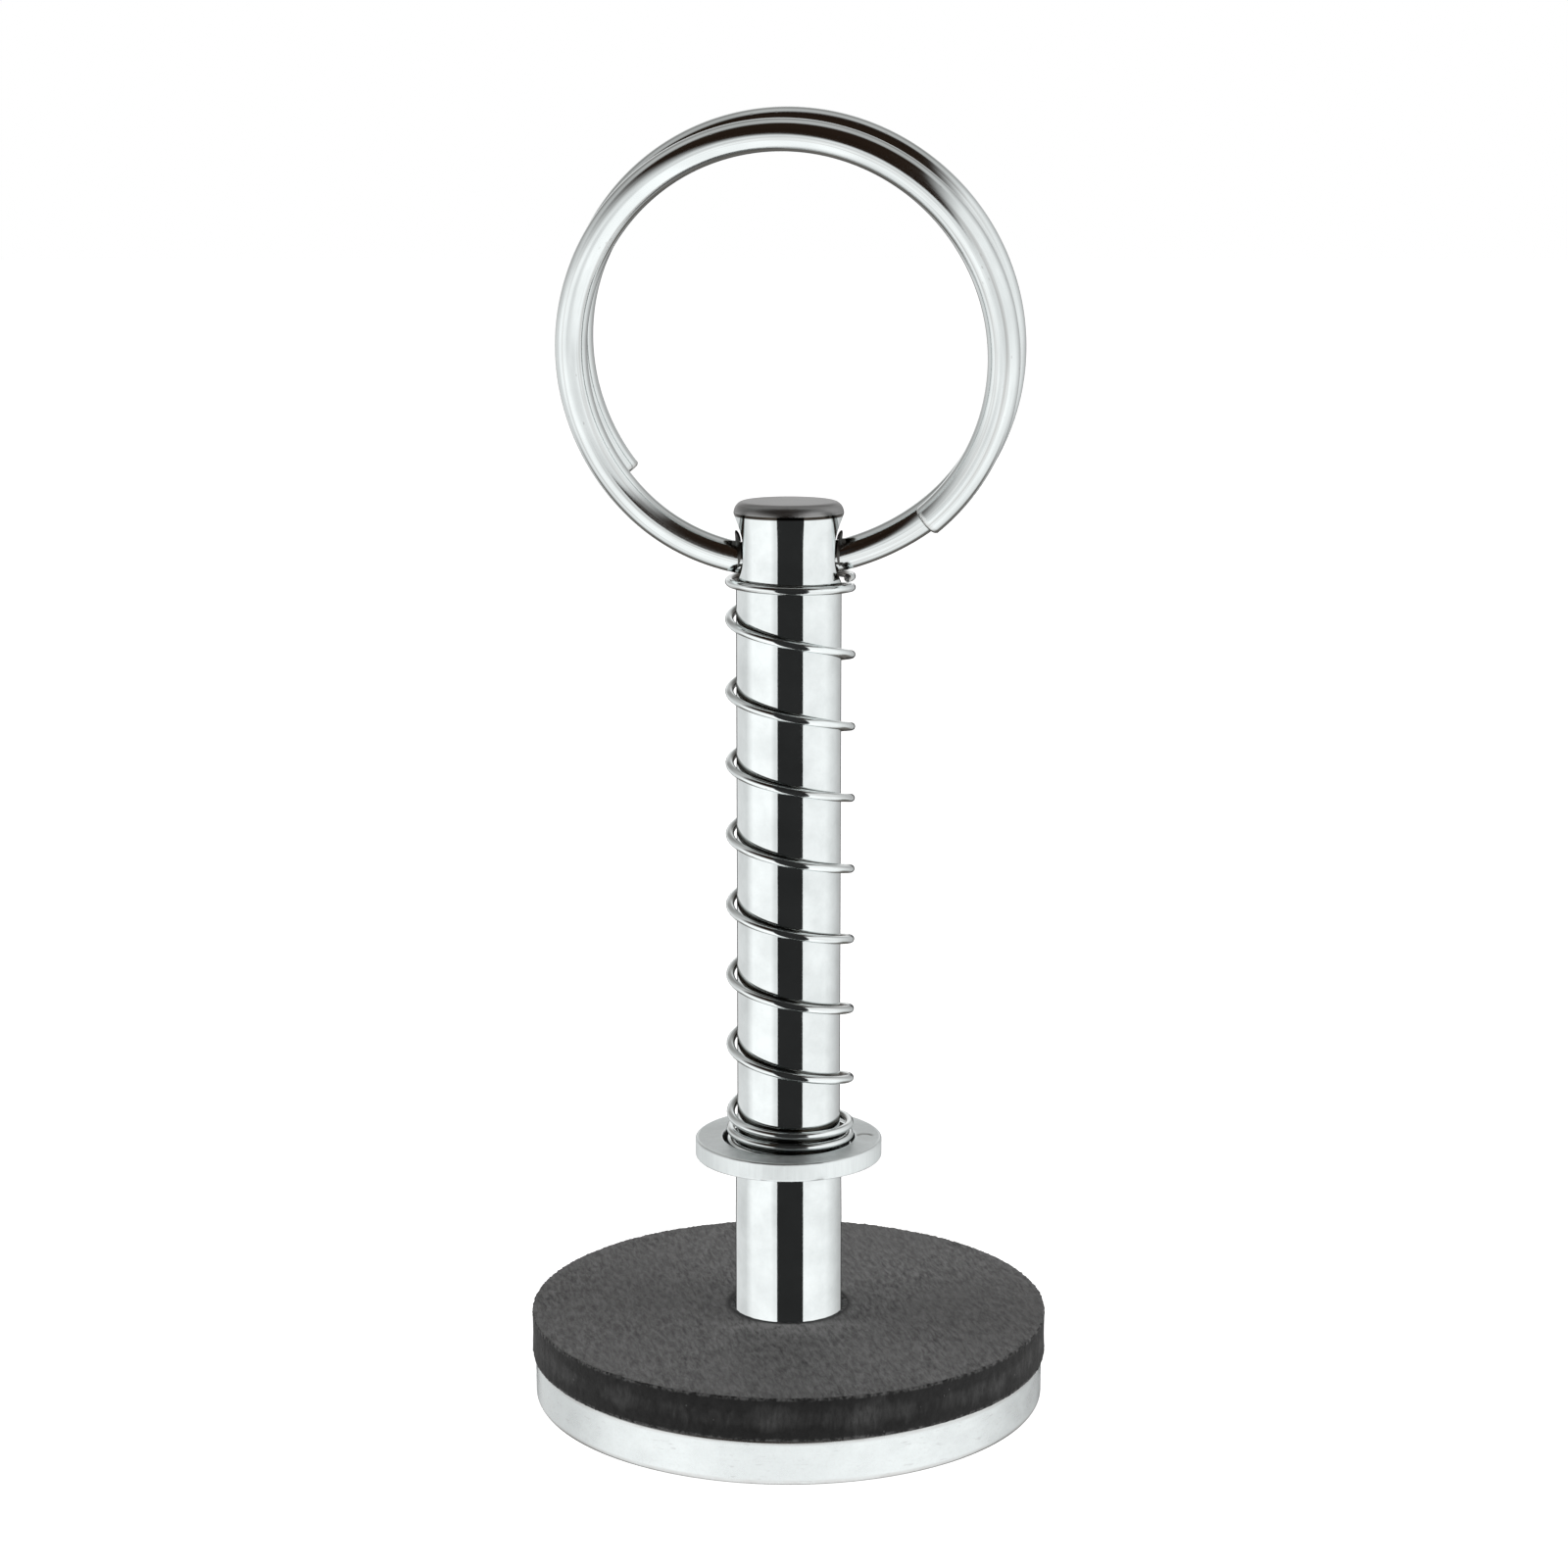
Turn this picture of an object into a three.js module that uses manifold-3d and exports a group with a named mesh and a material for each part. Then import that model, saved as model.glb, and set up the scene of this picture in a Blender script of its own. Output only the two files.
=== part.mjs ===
// Magnet plunger with a pull ring: a slotted chrome rod screwed to a shallow pot magnet. A split ring
// passes through the rod's head, a compression spring stands round its shank on a loose seat washer,
// and a rubber bumper disc lies on the pot.
// Millimetres, +Z up. The origin is the centre of the magnet's working face, which lies at z = 0.
// X is the direction of the slot in the rod's head, and -Y is the front.

import * as THREE from 'three';
import { mergeVertices } from 'three/addons/utils/BufferGeometryUtils.js';
import Module from 'manifold-3d';

// Pot magnet
const CUP_RADIUS = 24.95;
const CUP_HEIGHT = 4.35;
const CUP_POCKET_RADIUS = 22.5;
const CUP_POCKET_DEPTH = 2.9;
const CUP_BOTTOM_BEVEL = 0.4;
const CUP_TOP_BEVEL = 0.3;
const MAGNET_INNER_RADIUS = 8.65;
const MAGNET_OUTER_RADIUS = 21.3;
const MAGNET_RECESS = 0.15;
const RESIN_RECESS = 0.25;
const BUSH_RADIUS = 6.6;
const POTTING_GAP = 0.05;

// M5 countersunk screw, from the working face up into the rod
const SCREW_RADIUS = 2.5;
const SCREW_CLEARANCE_RADIUS = 2.75;
const SCREW_HEAD_RADIUS = 4.9;
const SCREW_HEAD_RECESS = 0.3;
const SCREW_HEAD_LAND = 0.3;
const SCREW_TIP_HEIGHT = 17.2;
const SCREW_TIP_BEVEL = 0.4;
const SCREW_SEAT_GAP = 0.15;
const SOCKET_ACROSS_FLATS = 3;
const SOCKET_DEPTH = 1.7;

// Rubber bumper disc, on top of the pot
const BUMPER_RADIUS = 25.25;
const BUMPER_THICKNESS = 4.25;
const BUMPER_HOLE_RADIUS = 5.3;
const BUMPER_BEVEL = 0.15;

// Plunger rod
const ROD_RADIUS = 5;
const ROD_FOOT_RADIUS = 5.2;
const ROD_SHOULDER_RADIUS = 5.14;
const ROD_FOOT_TOP = 18;
const ROD_SHOULDER_HEIGHT = 24;
const ROD_TOP = 87.9;
const ROD_FOOT_BEVEL = 0.25;
const HEAD_ROUND_START = 86.75;
const HEAD_FLAT_RADIUS = 4.25;
const HEAD_ROUND_STEPS = 4;
const TAPPED_RADIUS = 2.6;
const TAPPED_DEPTH = 14;
const DRILL_POINT = 1.2;

// Slot through the rod's head, along X, with round ends
const SLOT_WIDTH = 4.7;
const SLOT_BOTTOM = 80.3;
const SLOT_TOP = 86.6;
const SLOT_ARC_STEPS = 8;

// Seat washer, loose on the rod. Its bore's lower bevel sits on the shoulder, and a recess in its top
// face holds the spring's end coil.
const WASHER_RADIUS = 9.1;
const WASHER_BORE_RADIUS = 5.08;
const WASHER_BOTTOM = 23.9;
const WASHER_THICKNESS = 1.85;
const WASHER_BEVEL = 0.2;
const WASHER_BORE_BEVEL = 0.2;
const WASHER_RECESS_RADIUS = 6.45;
const WASHER_RECESS_DEPTH = 1.35;

// Left-handed compression spring with closed ends, standing in the washer's recess. It hangs a little
// to one side of the rod.
const SPRING_WIRE = 0.8;
const SPRING_MEAN_RADIUS = 5.8;
const SPRING_OFFSET = 0.15;
const SPRING_FLOOR_GAP = 0.02;
const SPRING_ACTIVE_PITCH = 6.94;
const SPRING_TOP_PITCH = 0.95;
const SPRING_BOTTOM_PITCH = 1.15;
const SPRING_TOP_CLOSED_TURNS = 0.95;
const SPRING_BOTTOM_CLOSED_TURNS = 2.25;
const SPRING_EASE_TURNS = 0.35;
const SPRING_TOP_ANGLE = -22;
const SPRING_TOP_HEIGHT = 80.85;
const SPRING_STEPS_PER_TURN = 14;
const SPRING_SIDES = 6;

// Split ring: one wire in two layers. It changes layer where it passes through the slot, and it is
// turned a little about Z so that this stretch of it lies along the slot. It stands leaning forward
// on its pivot, which is the line where it bears on the spring's top coil, both sides of the rod.
const RING_WIRE = 3;
const RING_MEAN_RADIUS = 20.35;
const RING_LAYER_OFFSET = 1.55;
const RING_TURN = 9;
const RING_LEAN = 8;
const RING_FRONT_CENTRE = 102.05;
const RING_BACK_CENTRE = 102.5;
const RING_SLOT_HEIGHT = 82.1;
const RING_PIVOT_HEIGHT = 82.95;
const RING_START_ANGLE = 139;
const RING_END_ANGLE = -489;
const RING_START_TIGHTENING = 0.3;
const RING_CROSSING_ANGLE = -180;
const RING_CROSSING_SPREAD = 44;
const RING_FLATTENED_SPREAD = 60;
const RING_STEPS = 84;
const RING_SIDES = 8;

// Facets round each turned piece
const WIDE_FACETS = 72;
const ROD_FACETS = 56;
const SMALL_FACETS = 40;

const QUARTER_TURN = Math.PI / 2;

const wasm = await Module();
wasm.setup();

// Shape helpers

function at(radius, height) {
  return new THREE.Vector2(radius, height);
}

// Turns an outline of (radius, height) points round the Z axis. The outline runs anticlockwise round
// the material, with the radius to the right.
function turned(outline, facets) {
  const geometry = new THREE.LatheGeometry(outline, facets);
  geometry.rotateX(QUARTER_TURN);
  return geometry;
}

function closed(outline) {
  return [...outline, outline[0].clone()];
}

function plainRing(innerRadius, outerRadius, bottom, top, facets) {
  const outline = [
    at(innerRadius, bottom),
    at(outerRadius, bottom),
    at(outerRadius, top),
    at(innerRadius, top),
  ];
  return turned(closed(outline), facets);
}

// Sweeps a round wire along a curve, with flat ends.
function wire(curve, diameter, sides, steps) {
  const section = [];
  for (let side = 0; side < sides; side += 1) {
    const angle = (2 * Math.PI * side) / sides;
    section.push(at((diameter / 2) * Math.cos(angle), (diameter / 2) * Math.sin(angle)));
  }
  return new THREE.ExtrudeGeometry(new THREE.Shape(section), {
    steps,
    bevelEnabled: false,
    extrudePath: curve,
  });
}

function toSolid(geometry) {
  const bare = geometry.index ? geometry.toNonIndexed() : geometry.clone();
  bare.deleteAttribute('normal');
  bare.deleteAttribute('uv');
  const merged = mergeVertices(bare, 1e-5);
  const corners = merged.index.array;
  const triangles = [];
  for (let first = 0; first < corners.length; first += 3) {
    const [a, b, c] = [corners[first], corners[first + 1], corners[first + 2]];
    const isFlat = a === b || b === c || c === a;
    if (!isFlat) triangles.push(a, b, c);
  }
  return new wasm.Manifold(new wasm.Mesh({
    numProp: 3,
    vertProperties: new Float32Array(merged.attributes.position.array),
    triVerts: new Uint32Array(triangles),
  }));
}

function cut(geometry, tool) {
  const result = toSolid(geometry).subtract(toSolid(tool)).getMesh();
  const carved = new THREE.BufferGeometry();
  carved.setAttribute('position', new THREE.BufferAttribute(result.vertProperties, 3));
  carved.setIndex(new THREE.BufferAttribute(result.triVerts, 1));
  carved.computeVertexNormals();
  return carved;
}

// Pot magnet

function magnetCup() {
  const outline = [
    at(CUP_POCKET_RADIUS, 0),
    at(CUP_RADIUS - CUP_BOTTOM_BEVEL, 0),
    at(CUP_RADIUS, CUP_BOTTOM_BEVEL),
    at(CUP_RADIUS, CUP_HEIGHT - CUP_TOP_BEVEL),
    at(CUP_RADIUS - CUP_TOP_BEVEL, CUP_HEIGHT),
    at(SCREW_CLEARANCE_RADIUS, CUP_HEIGHT),
    at(SCREW_CLEARANCE_RADIUS, CUP_POCKET_DEPTH),
    at(CUP_POCKET_RADIUS, CUP_POCKET_DEPTH),
  ];
  return turned(closed(outline), WIDE_FACETS);
}

function ringMagnet() {
  const top = CUP_POCKET_DEPTH - POTTING_GAP;
  return plainRing(MAGNET_INNER_RADIUS, MAGNET_OUTER_RADIUS, MAGNET_RECESS, top, WIDE_FACETS);
}

function pottingRing(innerRadius, outerRadius) {
  const inner = innerRadius + POTTING_GAP;
  const outer = outerRadius - POTTING_GAP;
  return plainRing(inner, outer, RESIN_RECESS, CUP_POCKET_DEPTH - POTTING_GAP, WIDE_FACETS);
}

// The steel bush in the magnet's middle. Its countersink takes the head of the screw.
function poleBush() {
  const mouthRadius = SCREW_HEAD_RADIUS + SCREW_SEAT_GAP;
  const coneBottom = SCREW_HEAD_RECESS + SCREW_HEAD_LAND;
  const coneTop = coneBottom + mouthRadius - SCREW_CLEARANCE_RADIUS;
  const outline = [
    at(mouthRadius, 0),
    at(BUSH_RADIUS, 0),
    at(BUSH_RADIUS, coneTop),
    at(SCREW_CLEARANCE_RADIUS, coneTop),
    at(mouthRadius, coneBottom),
  ];
  return turned(closed(outline), SMALL_FACETS);
}

function retainingScrew() {
  const coneBottom = SCREW_HEAD_RECESS + SCREW_HEAD_LAND;
  const coneTop = coneBottom + SCREW_HEAD_RADIUS - SCREW_RADIUS;
  const outline = [
    at(0, SCREW_HEAD_RECESS),
    at(SCREW_HEAD_RADIUS, SCREW_HEAD_RECESS),
    at(SCREW_HEAD_RADIUS, coneBottom),
    at(SCREW_RADIUS, coneTop),
    at(SCREW_RADIUS, SCREW_TIP_HEIGHT - SCREW_TIP_BEVEL),
    at(SCREW_RADIUS - SCREW_TIP_BEVEL, SCREW_TIP_HEIGHT),
    at(0, SCREW_TIP_HEIGHT),
  ];
  const cornerRadius = SOCKET_ACROSS_FLATS / Math.sqrt(3);
  const socket = new THREE.CylinderGeometry(cornerRadius, cornerRadius, 2 * SOCKET_DEPTH, 6);
  socket.rotateX(QUARTER_TURN);
  socket.translate(0, 0, SCREW_HEAD_RECESS);
  return cut(turned(outline, SMALL_FACETS), socket);
}

// Rubber bumper disc

function bumperDisc() {
  const bottom = CUP_HEIGHT;
  const top = CUP_HEIGHT + BUMPER_THICKNESS;
  const outline = [
    at(BUMPER_HOLE_RADIUS, bottom),
    at(BUMPER_RADIUS - BUMPER_BEVEL, bottom),
    at(BUMPER_RADIUS, bottom + BUMPER_BEVEL),
    at(BUMPER_RADIUS, top - BUMPER_BEVEL),
    at(BUMPER_RADIUS - BUMPER_BEVEL, top),
    at(BUMPER_HOLE_RADIUS, top),
  ];
  return turned(closed(outline), WIDE_FACETS);
}

// Plunger rod

function headRound() {
  const points = [];
  for (let step = 1; step <= HEAD_ROUND_STEPS; step += 1) {
    const angle = (QUARTER_TURN * step) / HEAD_ROUND_STEPS;
    const radius = HEAD_FLAT_RADIUS + (ROD_RADIUS - HEAD_FLAT_RADIUS) * Math.cos(angle);
    const height = HEAD_ROUND_START + (ROD_TOP - HEAD_ROUND_START) * Math.sin(angle);
    points.push(at(radius, height));
  }
  return points;
}

// The slot's outline is drawn in a plane, with the rod's height upwards, and pushed along X.
function slotTool() {
  const half = SLOT_WIDTH / 2;
  const outline = [];
  for (let step = 0; step <= SLOT_ARC_STEPS; step += 1) {
    const angle = (Math.PI * step) / SLOT_ARC_STEPS;
    outline.push(at(half * Math.cos(angle), SLOT_TOP - half + half * Math.sin(angle)));
  }
  for (let step = 0; step <= SLOT_ARC_STEPS; step += 1) {
    const angle = Math.PI + (Math.PI * step) / SLOT_ARC_STEPS;
    outline.push(at(half * Math.cos(angle), SLOT_BOTTOM + half + half * Math.sin(angle)));
  }
  const length = 4 * ROD_RADIUS;
  const tool = new THREE.ExtrudeGeometry(new THREE.Shape(outline), {
    depth: length,
    bevelEnabled: false,
  });
  tool.translate(0, 0, -length / 2);
  tool.rotateX(QUARTER_TURN);
  tool.rotateZ(QUARTER_TURN);
  return tool;
}

function plungerRod() {
  const foot = CUP_HEIGHT;
  const outline = [
    at(0, foot + TAPPED_DEPTH + DRILL_POINT),
    at(TAPPED_RADIUS, foot + TAPPED_DEPTH),
    at(TAPPED_RADIUS, foot),
    at(ROD_FOOT_RADIUS - ROD_FOOT_BEVEL, foot),
    at(ROD_FOOT_RADIUS, foot + ROD_FOOT_BEVEL),
    at(ROD_FOOT_RADIUS, ROD_FOOT_TOP),
    at(ROD_SHOULDER_RADIUS, ROD_SHOULDER_HEIGHT),
    at(ROD_RADIUS, ROD_SHOULDER_HEIGHT),
    at(ROD_RADIUS, HEAD_ROUND_START),
    ...headRound(),
    at(0, ROD_TOP),
  ];
  return cut(turned(outline, ROD_FACETS), slotTool());
}

// Seat washer

function seatWasher() {
  const bottom = WASHER_BOTTOM;
  const top = WASHER_BOTTOM + WASHER_THICKNESS;
  const outline = [
    at(WASHER_BORE_RADIUS, bottom + WASHER_BORE_BEVEL),
    at(WASHER_BORE_RADIUS + WASHER_BORE_BEVEL, bottom),
    at(WASHER_RADIUS - WASHER_BEVEL, bottom),
    at(WASHER_RADIUS, bottom + WASHER_BEVEL),
    at(WASHER_RADIUS, top - WASHER_BEVEL),
    at(WASHER_RADIUS - WASHER_BEVEL, top),
    at(WASHER_RECESS_RADIUS, top),
    at(WASHER_RECESS_RADIUS, top - WASHER_RECESS_DEPTH),
    at(WASHER_BORE_RADIUS, top - WASHER_RECESS_DEPTH),
  ];
  return turned(closed(outline), ROD_FACETS);
}

// Compression spring

const WASHER_RECESS_FLOOR = WASHER_BOTTOM + WASHER_THICKNESS - WASHER_RECESS_DEPTH;
const SPRING_FOOT_HEIGHT = WASHER_RECESS_FLOOR + SPRING_FLOOR_GAP + SPRING_WIRE / 2;

// The open coils, with an ease at each end, take up the height that the closed coils leave.
const SPRING_OPEN_DROP = SPRING_TOP_HEIGHT - SPRING_FOOT_HEIGHT
  - SPRING_TOP_CLOSED_TURNS * SPRING_TOP_PITCH
  - SPRING_BOTTOM_CLOSED_TURNS * SPRING_BOTTOM_PITCH;
const SPRING_MEAN_CLOSED_PITCH = (SPRING_TOP_PITCH + SPRING_BOTTOM_PITCH) / 2;
const SPRING_EASE_LOSS = SPRING_EASE_TURNS * (SPRING_ACTIVE_PITCH - SPRING_MEAN_CLOSED_PITCH);
const SPRING_OPEN_TURNS = (SPRING_OPEN_DROP + SPRING_EASE_LOSS) / SPRING_ACTIVE_PITCH;
const SPRING_TURNS = SPRING_TOP_CLOSED_TURNS + SPRING_OPEN_TURNS + SPRING_BOTTOM_CLOSED_TURNS;

// How far the wire has dropped after some turns of the open stretch. The pitch grows evenly from the
// top coil's over the ease, and falls evenly to the bottom coils' over the last ease.
function openDrop(turns) {
  const ease = SPRING_EASE_TURNS;
  const fromTop = Math.max(ease - turns, 0);
  const pastEase = Math.max(ease - (SPRING_OPEN_TURNS - turns), 0);
  const topLoss = (SPRING_ACTIVE_PITCH - SPRING_TOP_PITCH) * (ease ** 2 - fromTop ** 2);
  const bottomLoss = (SPRING_ACTIVE_PITCH - SPRING_BOTTOM_PITCH) * pastEase ** 2;
  return SPRING_ACTIVE_PITCH * turns - (topLoss + bottomLoss) / (2 * ease);
}

class SpringWire extends THREE.Curve {
  getPoint(t, target = new THREE.Vector3()) {
    const turns = SPRING_TURNS * t;
    const angle = THREE.MathUtils.degToRad(SPRING_TOP_ANGLE + 360 * turns);
    const open = THREE.MathUtils.clamp(turns - SPRING_TOP_CLOSED_TURNS, 0, SPRING_OPEN_TURNS);
    const above = Math.min(turns, SPRING_TOP_CLOSED_TURNS);
    const below = turns - above - open;
    const closedDrop = SPRING_TOP_PITCH * above + SPRING_BOTTOM_PITCH * below;
    const drop = closedDrop + openDrop(open);
    return target.set(
      SPRING_OFFSET + SPRING_MEAN_RADIUS * Math.cos(angle),
      SPRING_MEAN_RADIUS * Math.sin(angle),
      SPRING_TOP_HEIGHT - drop,
    );
  }
}

function compressionSpring() {
  const curve = new SpringWire();
  curve.arcLengthDivisions = 1200;
  const steps = Math.round(SPRING_STEPS_PER_TURN * SPRING_TURNS);
  return wire(curve, SPRING_WIRE, SPRING_SIDES, steps);
}

// Split ring

const X_AXIS = new THREE.Vector3(1, 0, 0);

// Angles run clockwise from the top, seen from the front, so the wire runs anticlockwise.
class SplitRingWire extends THREE.Curve {
  getPoint(t, target = new THREE.Vector3()) {
    const degrees = THREE.MathUtils.lerp(RING_START_ANGLE, RING_END_ANGLE, t);
    const angle = THREE.MathUtils.degToRad(degrees);
    const past = (RING_CROSSING_ANGLE - degrees) / RING_CROSSING_SPREAD;
    const layer = Math.sin(THREE.MathUtils.clamp(past, -1, 1) * QUARTER_TURN);
    const centre = THREE.MathUtils.lerp(RING_FRONT_CENTRE, RING_BACK_CENTRE, (layer + 1) / 2);

    const middleCentre = (RING_FRONT_CENTRE + RING_BACK_CENTRE) / 2;
    const flattening = RING_MEAN_RADIUS - (middleCentre - RING_SLOT_HEIGHT);
    const fromSlot = (RING_CROSSING_ANGLE - degrees) / RING_FLATTENED_SPREAD;
    const nearSlot = Math.cos(THREE.MathUtils.clamp(fromSlot, -1, 1) * QUARTER_TURN) ** 2;
    const beforeSlot = (degrees - RING_CROSSING_ANGLE) / (RING_START_ANGLE - RING_CROSSING_ANGLE);
    const tightening = RING_START_TIGHTENING * THREE.MathUtils.clamp(beforeSlot, 0, 1);
    const radius = RING_MEAN_RADIUS - flattening * nearSlot - tightening;

    const sideways = radius * Math.sin(angle);
    const depth = RING_LAYER_OFFSET * layer;
    const turn = THREE.MathUtils.degToRad(RING_TURN);
    target.set(
      sideways * Math.cos(turn) + depth * Math.sin(turn),
      -sideways * Math.sin(turn) + depth * Math.cos(turn),
      centre + radius * Math.cos(angle) - RING_PIVOT_HEIGHT,
    );
    target.applyAxisAngle(X_AXIS, THREE.MathUtils.degToRad(RING_LEAN));
    target.z += RING_PIVOT_HEIGHT;
    return target;
  }
}

function splitRing() {
  const curve = new SplitRingWire();
  curve.arcLengthDivisions = 800;
  return wire(curve, RING_WIRE, RING_SIDES, RING_STEPS);
}

// Materials

function metal(color, roughness) {
  return new THREE.MeshStandardMaterial({ color, roughness, metalness: 1 });
}

function matte(color, roughness) {
  return new THREE.MeshStandardMaterial({ color, roughness, metalness: 0 });
}

// Assembly

const plunger = new THREE.Group();

function addPiece(name, geometry, material) {
  const piece = new THREE.Mesh(geometry, material);
  piece.name = name;
  plunger.add(piece);
}

addPiece('split_ring', splitRing(), metal(0xc9ccd0, 0.12));
addPiece('plunger_rod', plungerRod(), metal(0xd6d9dd, 0.05));
addPiece('compression_spring', compressionSpring(), metal(0xc4c8cc, 0.16));
addPiece('seat_washer', seatWasher(), metal(0xc2c4c6, 0.35));
addPiece('rubber_bumper_disc', bumperDisc(), matte(0x2f3032, 0.75));
addPiece('magnet_cup', magnetCup(), metal(0xd4d6d8, 0.3));
addPiece('ring_magnet', ringMagnet(), metal(0xb4b6b8, 0.35));
addPiece('pole_bush', poleBush(), metal(0xc6c8ca, 0.32));
addPiece('outer_potting', pottingRing(MAGNET_OUTER_RADIUS, CUP_POCKET_RADIUS), matte(0x16171a, 0.45));
addPiece('inner_potting', pottingRing(BUSH_RADIUS, MAGNET_INNER_RADIUS), matte(0x16171a, 0.45));
addPiece('retaining_screw', retainingScrew(), metal(0xa9acb0, 0.3));

export default plunger;
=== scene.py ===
"""Pull ring magnet plunger: the finished look around the CAD frame. Metres, +Z up, -Y is the front."""

import math

import bmesh
import bpy
from mathutils import Matrix, Vector, noise
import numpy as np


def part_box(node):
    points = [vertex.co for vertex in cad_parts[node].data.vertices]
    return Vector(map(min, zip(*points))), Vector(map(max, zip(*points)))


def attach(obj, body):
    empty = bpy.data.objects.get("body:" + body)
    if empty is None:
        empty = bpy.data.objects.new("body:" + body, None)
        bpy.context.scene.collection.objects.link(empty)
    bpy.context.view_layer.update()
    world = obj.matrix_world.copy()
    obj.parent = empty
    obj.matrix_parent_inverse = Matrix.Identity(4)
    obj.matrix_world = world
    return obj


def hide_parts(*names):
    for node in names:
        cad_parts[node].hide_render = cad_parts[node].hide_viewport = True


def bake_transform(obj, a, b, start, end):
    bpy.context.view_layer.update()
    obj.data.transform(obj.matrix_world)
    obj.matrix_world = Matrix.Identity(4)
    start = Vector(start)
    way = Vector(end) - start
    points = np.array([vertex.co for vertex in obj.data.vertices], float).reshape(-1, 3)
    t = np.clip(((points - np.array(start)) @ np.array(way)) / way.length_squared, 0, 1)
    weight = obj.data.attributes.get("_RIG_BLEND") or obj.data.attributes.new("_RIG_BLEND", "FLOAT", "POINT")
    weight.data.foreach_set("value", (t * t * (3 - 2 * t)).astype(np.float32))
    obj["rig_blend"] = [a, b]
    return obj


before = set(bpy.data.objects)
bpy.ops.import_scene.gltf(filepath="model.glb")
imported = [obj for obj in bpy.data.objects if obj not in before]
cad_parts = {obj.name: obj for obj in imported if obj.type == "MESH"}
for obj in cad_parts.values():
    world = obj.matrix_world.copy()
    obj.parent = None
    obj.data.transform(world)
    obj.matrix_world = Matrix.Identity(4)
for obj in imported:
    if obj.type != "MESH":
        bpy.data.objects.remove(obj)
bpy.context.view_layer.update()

MM = 0.001

# Driving sizes of the CAD model, in millimetres
CUP_RADIUS, CUP_HEIGHT = 24.95, 4.35
CUP_POCKET_RADIUS, CUP_POCKET_DEPTH = 22.5, 2.9
MAGNET_INNER_RADIUS, MAGNET_OUTER_RADIUS, MAGNET_RECESS = 8.65, 21.3, 0.15
RESIN_RECESS, BUSH_RADIUS, POTTING_GAP = 0.25, 6.6, 0.05
SCREW_RADIUS, SCREW_CLEARANCE_RADIUS, SCREW_HEAD_RADIUS = 2.5, 2.75, 4.9
SCREW_HEAD_RECESS, SCREW_HEAD_LAND, SCREW_SEAT_GAP, SCREW_TIP_HEIGHT = 0.3, 0.3, 0.15, 17.2
SOCKET_ACROSS_FLATS, SOCKET_DEPTH = 3, 1.7
BUMPER_RADIUS, BUMPER_THICKNESS, BUMPER_HOLE_RADIUS = 25.25, 4.25, 5.3
ROD_RADIUS, ROD_FOOT_RADIUS, ROD_SHOULDER_RADIUS = 5, 5.2, 5.14
ROD_FOOT_TOP, ROD_SHOULDER_HEIGHT, ROD_TOP = 18, 24, 87.9
HEAD_ROUND_START, HEAD_FLAT_RADIUS = 86.75, 4.25
TAPPED_RADIUS, TAPPED_DEPTH, DRILL_POINT = 2.6, 14, 1.2
SLOT_WIDTH, SLOT_BOTTOM, SLOT_TOP = 4.7, 80.3, 86.6
WASHER_RADIUS, WASHER_BORE_RADIUS = 9.1, 5.08
WASHER_BOTTOM, WASHER_THICKNESS = 23.9, 1.85
WASHER_RECESS_RADIUS, WASHER_RECESS_DEPTH = 6.45, 1.35
SPRING_WIRE, SPRING_MEAN_RADIUS, SPRING_OFFSET, SPRING_FLOOR_GAP = 0.8, 5.8, 0.15, 0.02
SPRING_ACTIVE_PITCH, SPRING_TOP_PITCH, SPRING_BOTTOM_PITCH = 6.94, 0.95, 1.15
SPRING_TOP_CLOSED_TURNS, SPRING_BOTTOM_CLOSED_TURNS, SPRING_EASE_TURNS = 0.95, 2.25, 0.35
SPRING_TOP_ANGLE, SPRING_TOP_HEIGHT = -22, 80.85
RING_WIRE, RING_MEAN_RADIUS, RING_LAYER_OFFSET = 3, 20.35, 1.55
RING_TURN, RING_LEAN = 9, 8
RING_FRONT_CENTRE, RING_BACK_CENTRE = 102.05, 102.5
RING_SLOT_HEIGHT, RING_PIVOT_HEIGHT = 82.1, 82.95
RING_START_ANGLE, RING_END_ANGLE, RING_START_TIGHTENING = 139, -489, 0.3
RING_CROSSING_ANGLE, RING_CROSSING_SPREAD, RING_FLATTENED_SPREAD = -180, 44, 60

# The spring's wire follows from these. It is described from the top end down, by turns.
WASHER_RECESS_FLOOR = WASHER_BOTTOM + WASHER_THICKNESS - WASHER_RECESS_DEPTH
SPRING_FOOT_HEIGHT = WASHER_RECESS_FLOOR + SPRING_FLOOR_GAP + SPRING_WIRE / 2
SPRING_TOP_CLOSED_DROP = SPRING_TOP_CLOSED_TURNS * SPRING_TOP_PITCH
SPRING_CLOSED_DROP = SPRING_TOP_CLOSED_DROP + SPRING_BOTTOM_CLOSED_TURNS * SPRING_BOTTOM_PITCH
SPRING_OPEN_DROP = SPRING_TOP_HEIGHT - SPRING_FOOT_HEIGHT - SPRING_CLOSED_DROP
SPRING_EASE_LOSS = SPRING_EASE_TURNS * (SPRING_ACTIVE_PITCH - (SPRING_TOP_PITCH + SPRING_BOTTOM_PITCH) / 2)
SPRING_OPEN_TURNS = (SPRING_OPEN_DROP + SPRING_EASE_LOSS) / SPRING_ACTIVE_PITCH
SPRING_TURNS = SPRING_TOP_CLOSED_TURNS + SPRING_OPEN_TURNS + SPRING_BOTTOM_CLOSED_TURNS

# Fine detail that the CAD model leaves out, in millimetres
FOOT_BLEND_RADIUS = 60.0
SLOT_FILLET = 0.28
HEAD_SPLAY, HEAD_SPLAY_START = 0.22, 83.2
DENT_RADIUS, DENT_ANGLE, DENT_SIZE, DENT_DEPTH = 7.45, math.radians(2), 0.75, 0.14
THREAD_PITCH, THREAD_DEPTH = 0.8, 0.42

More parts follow.
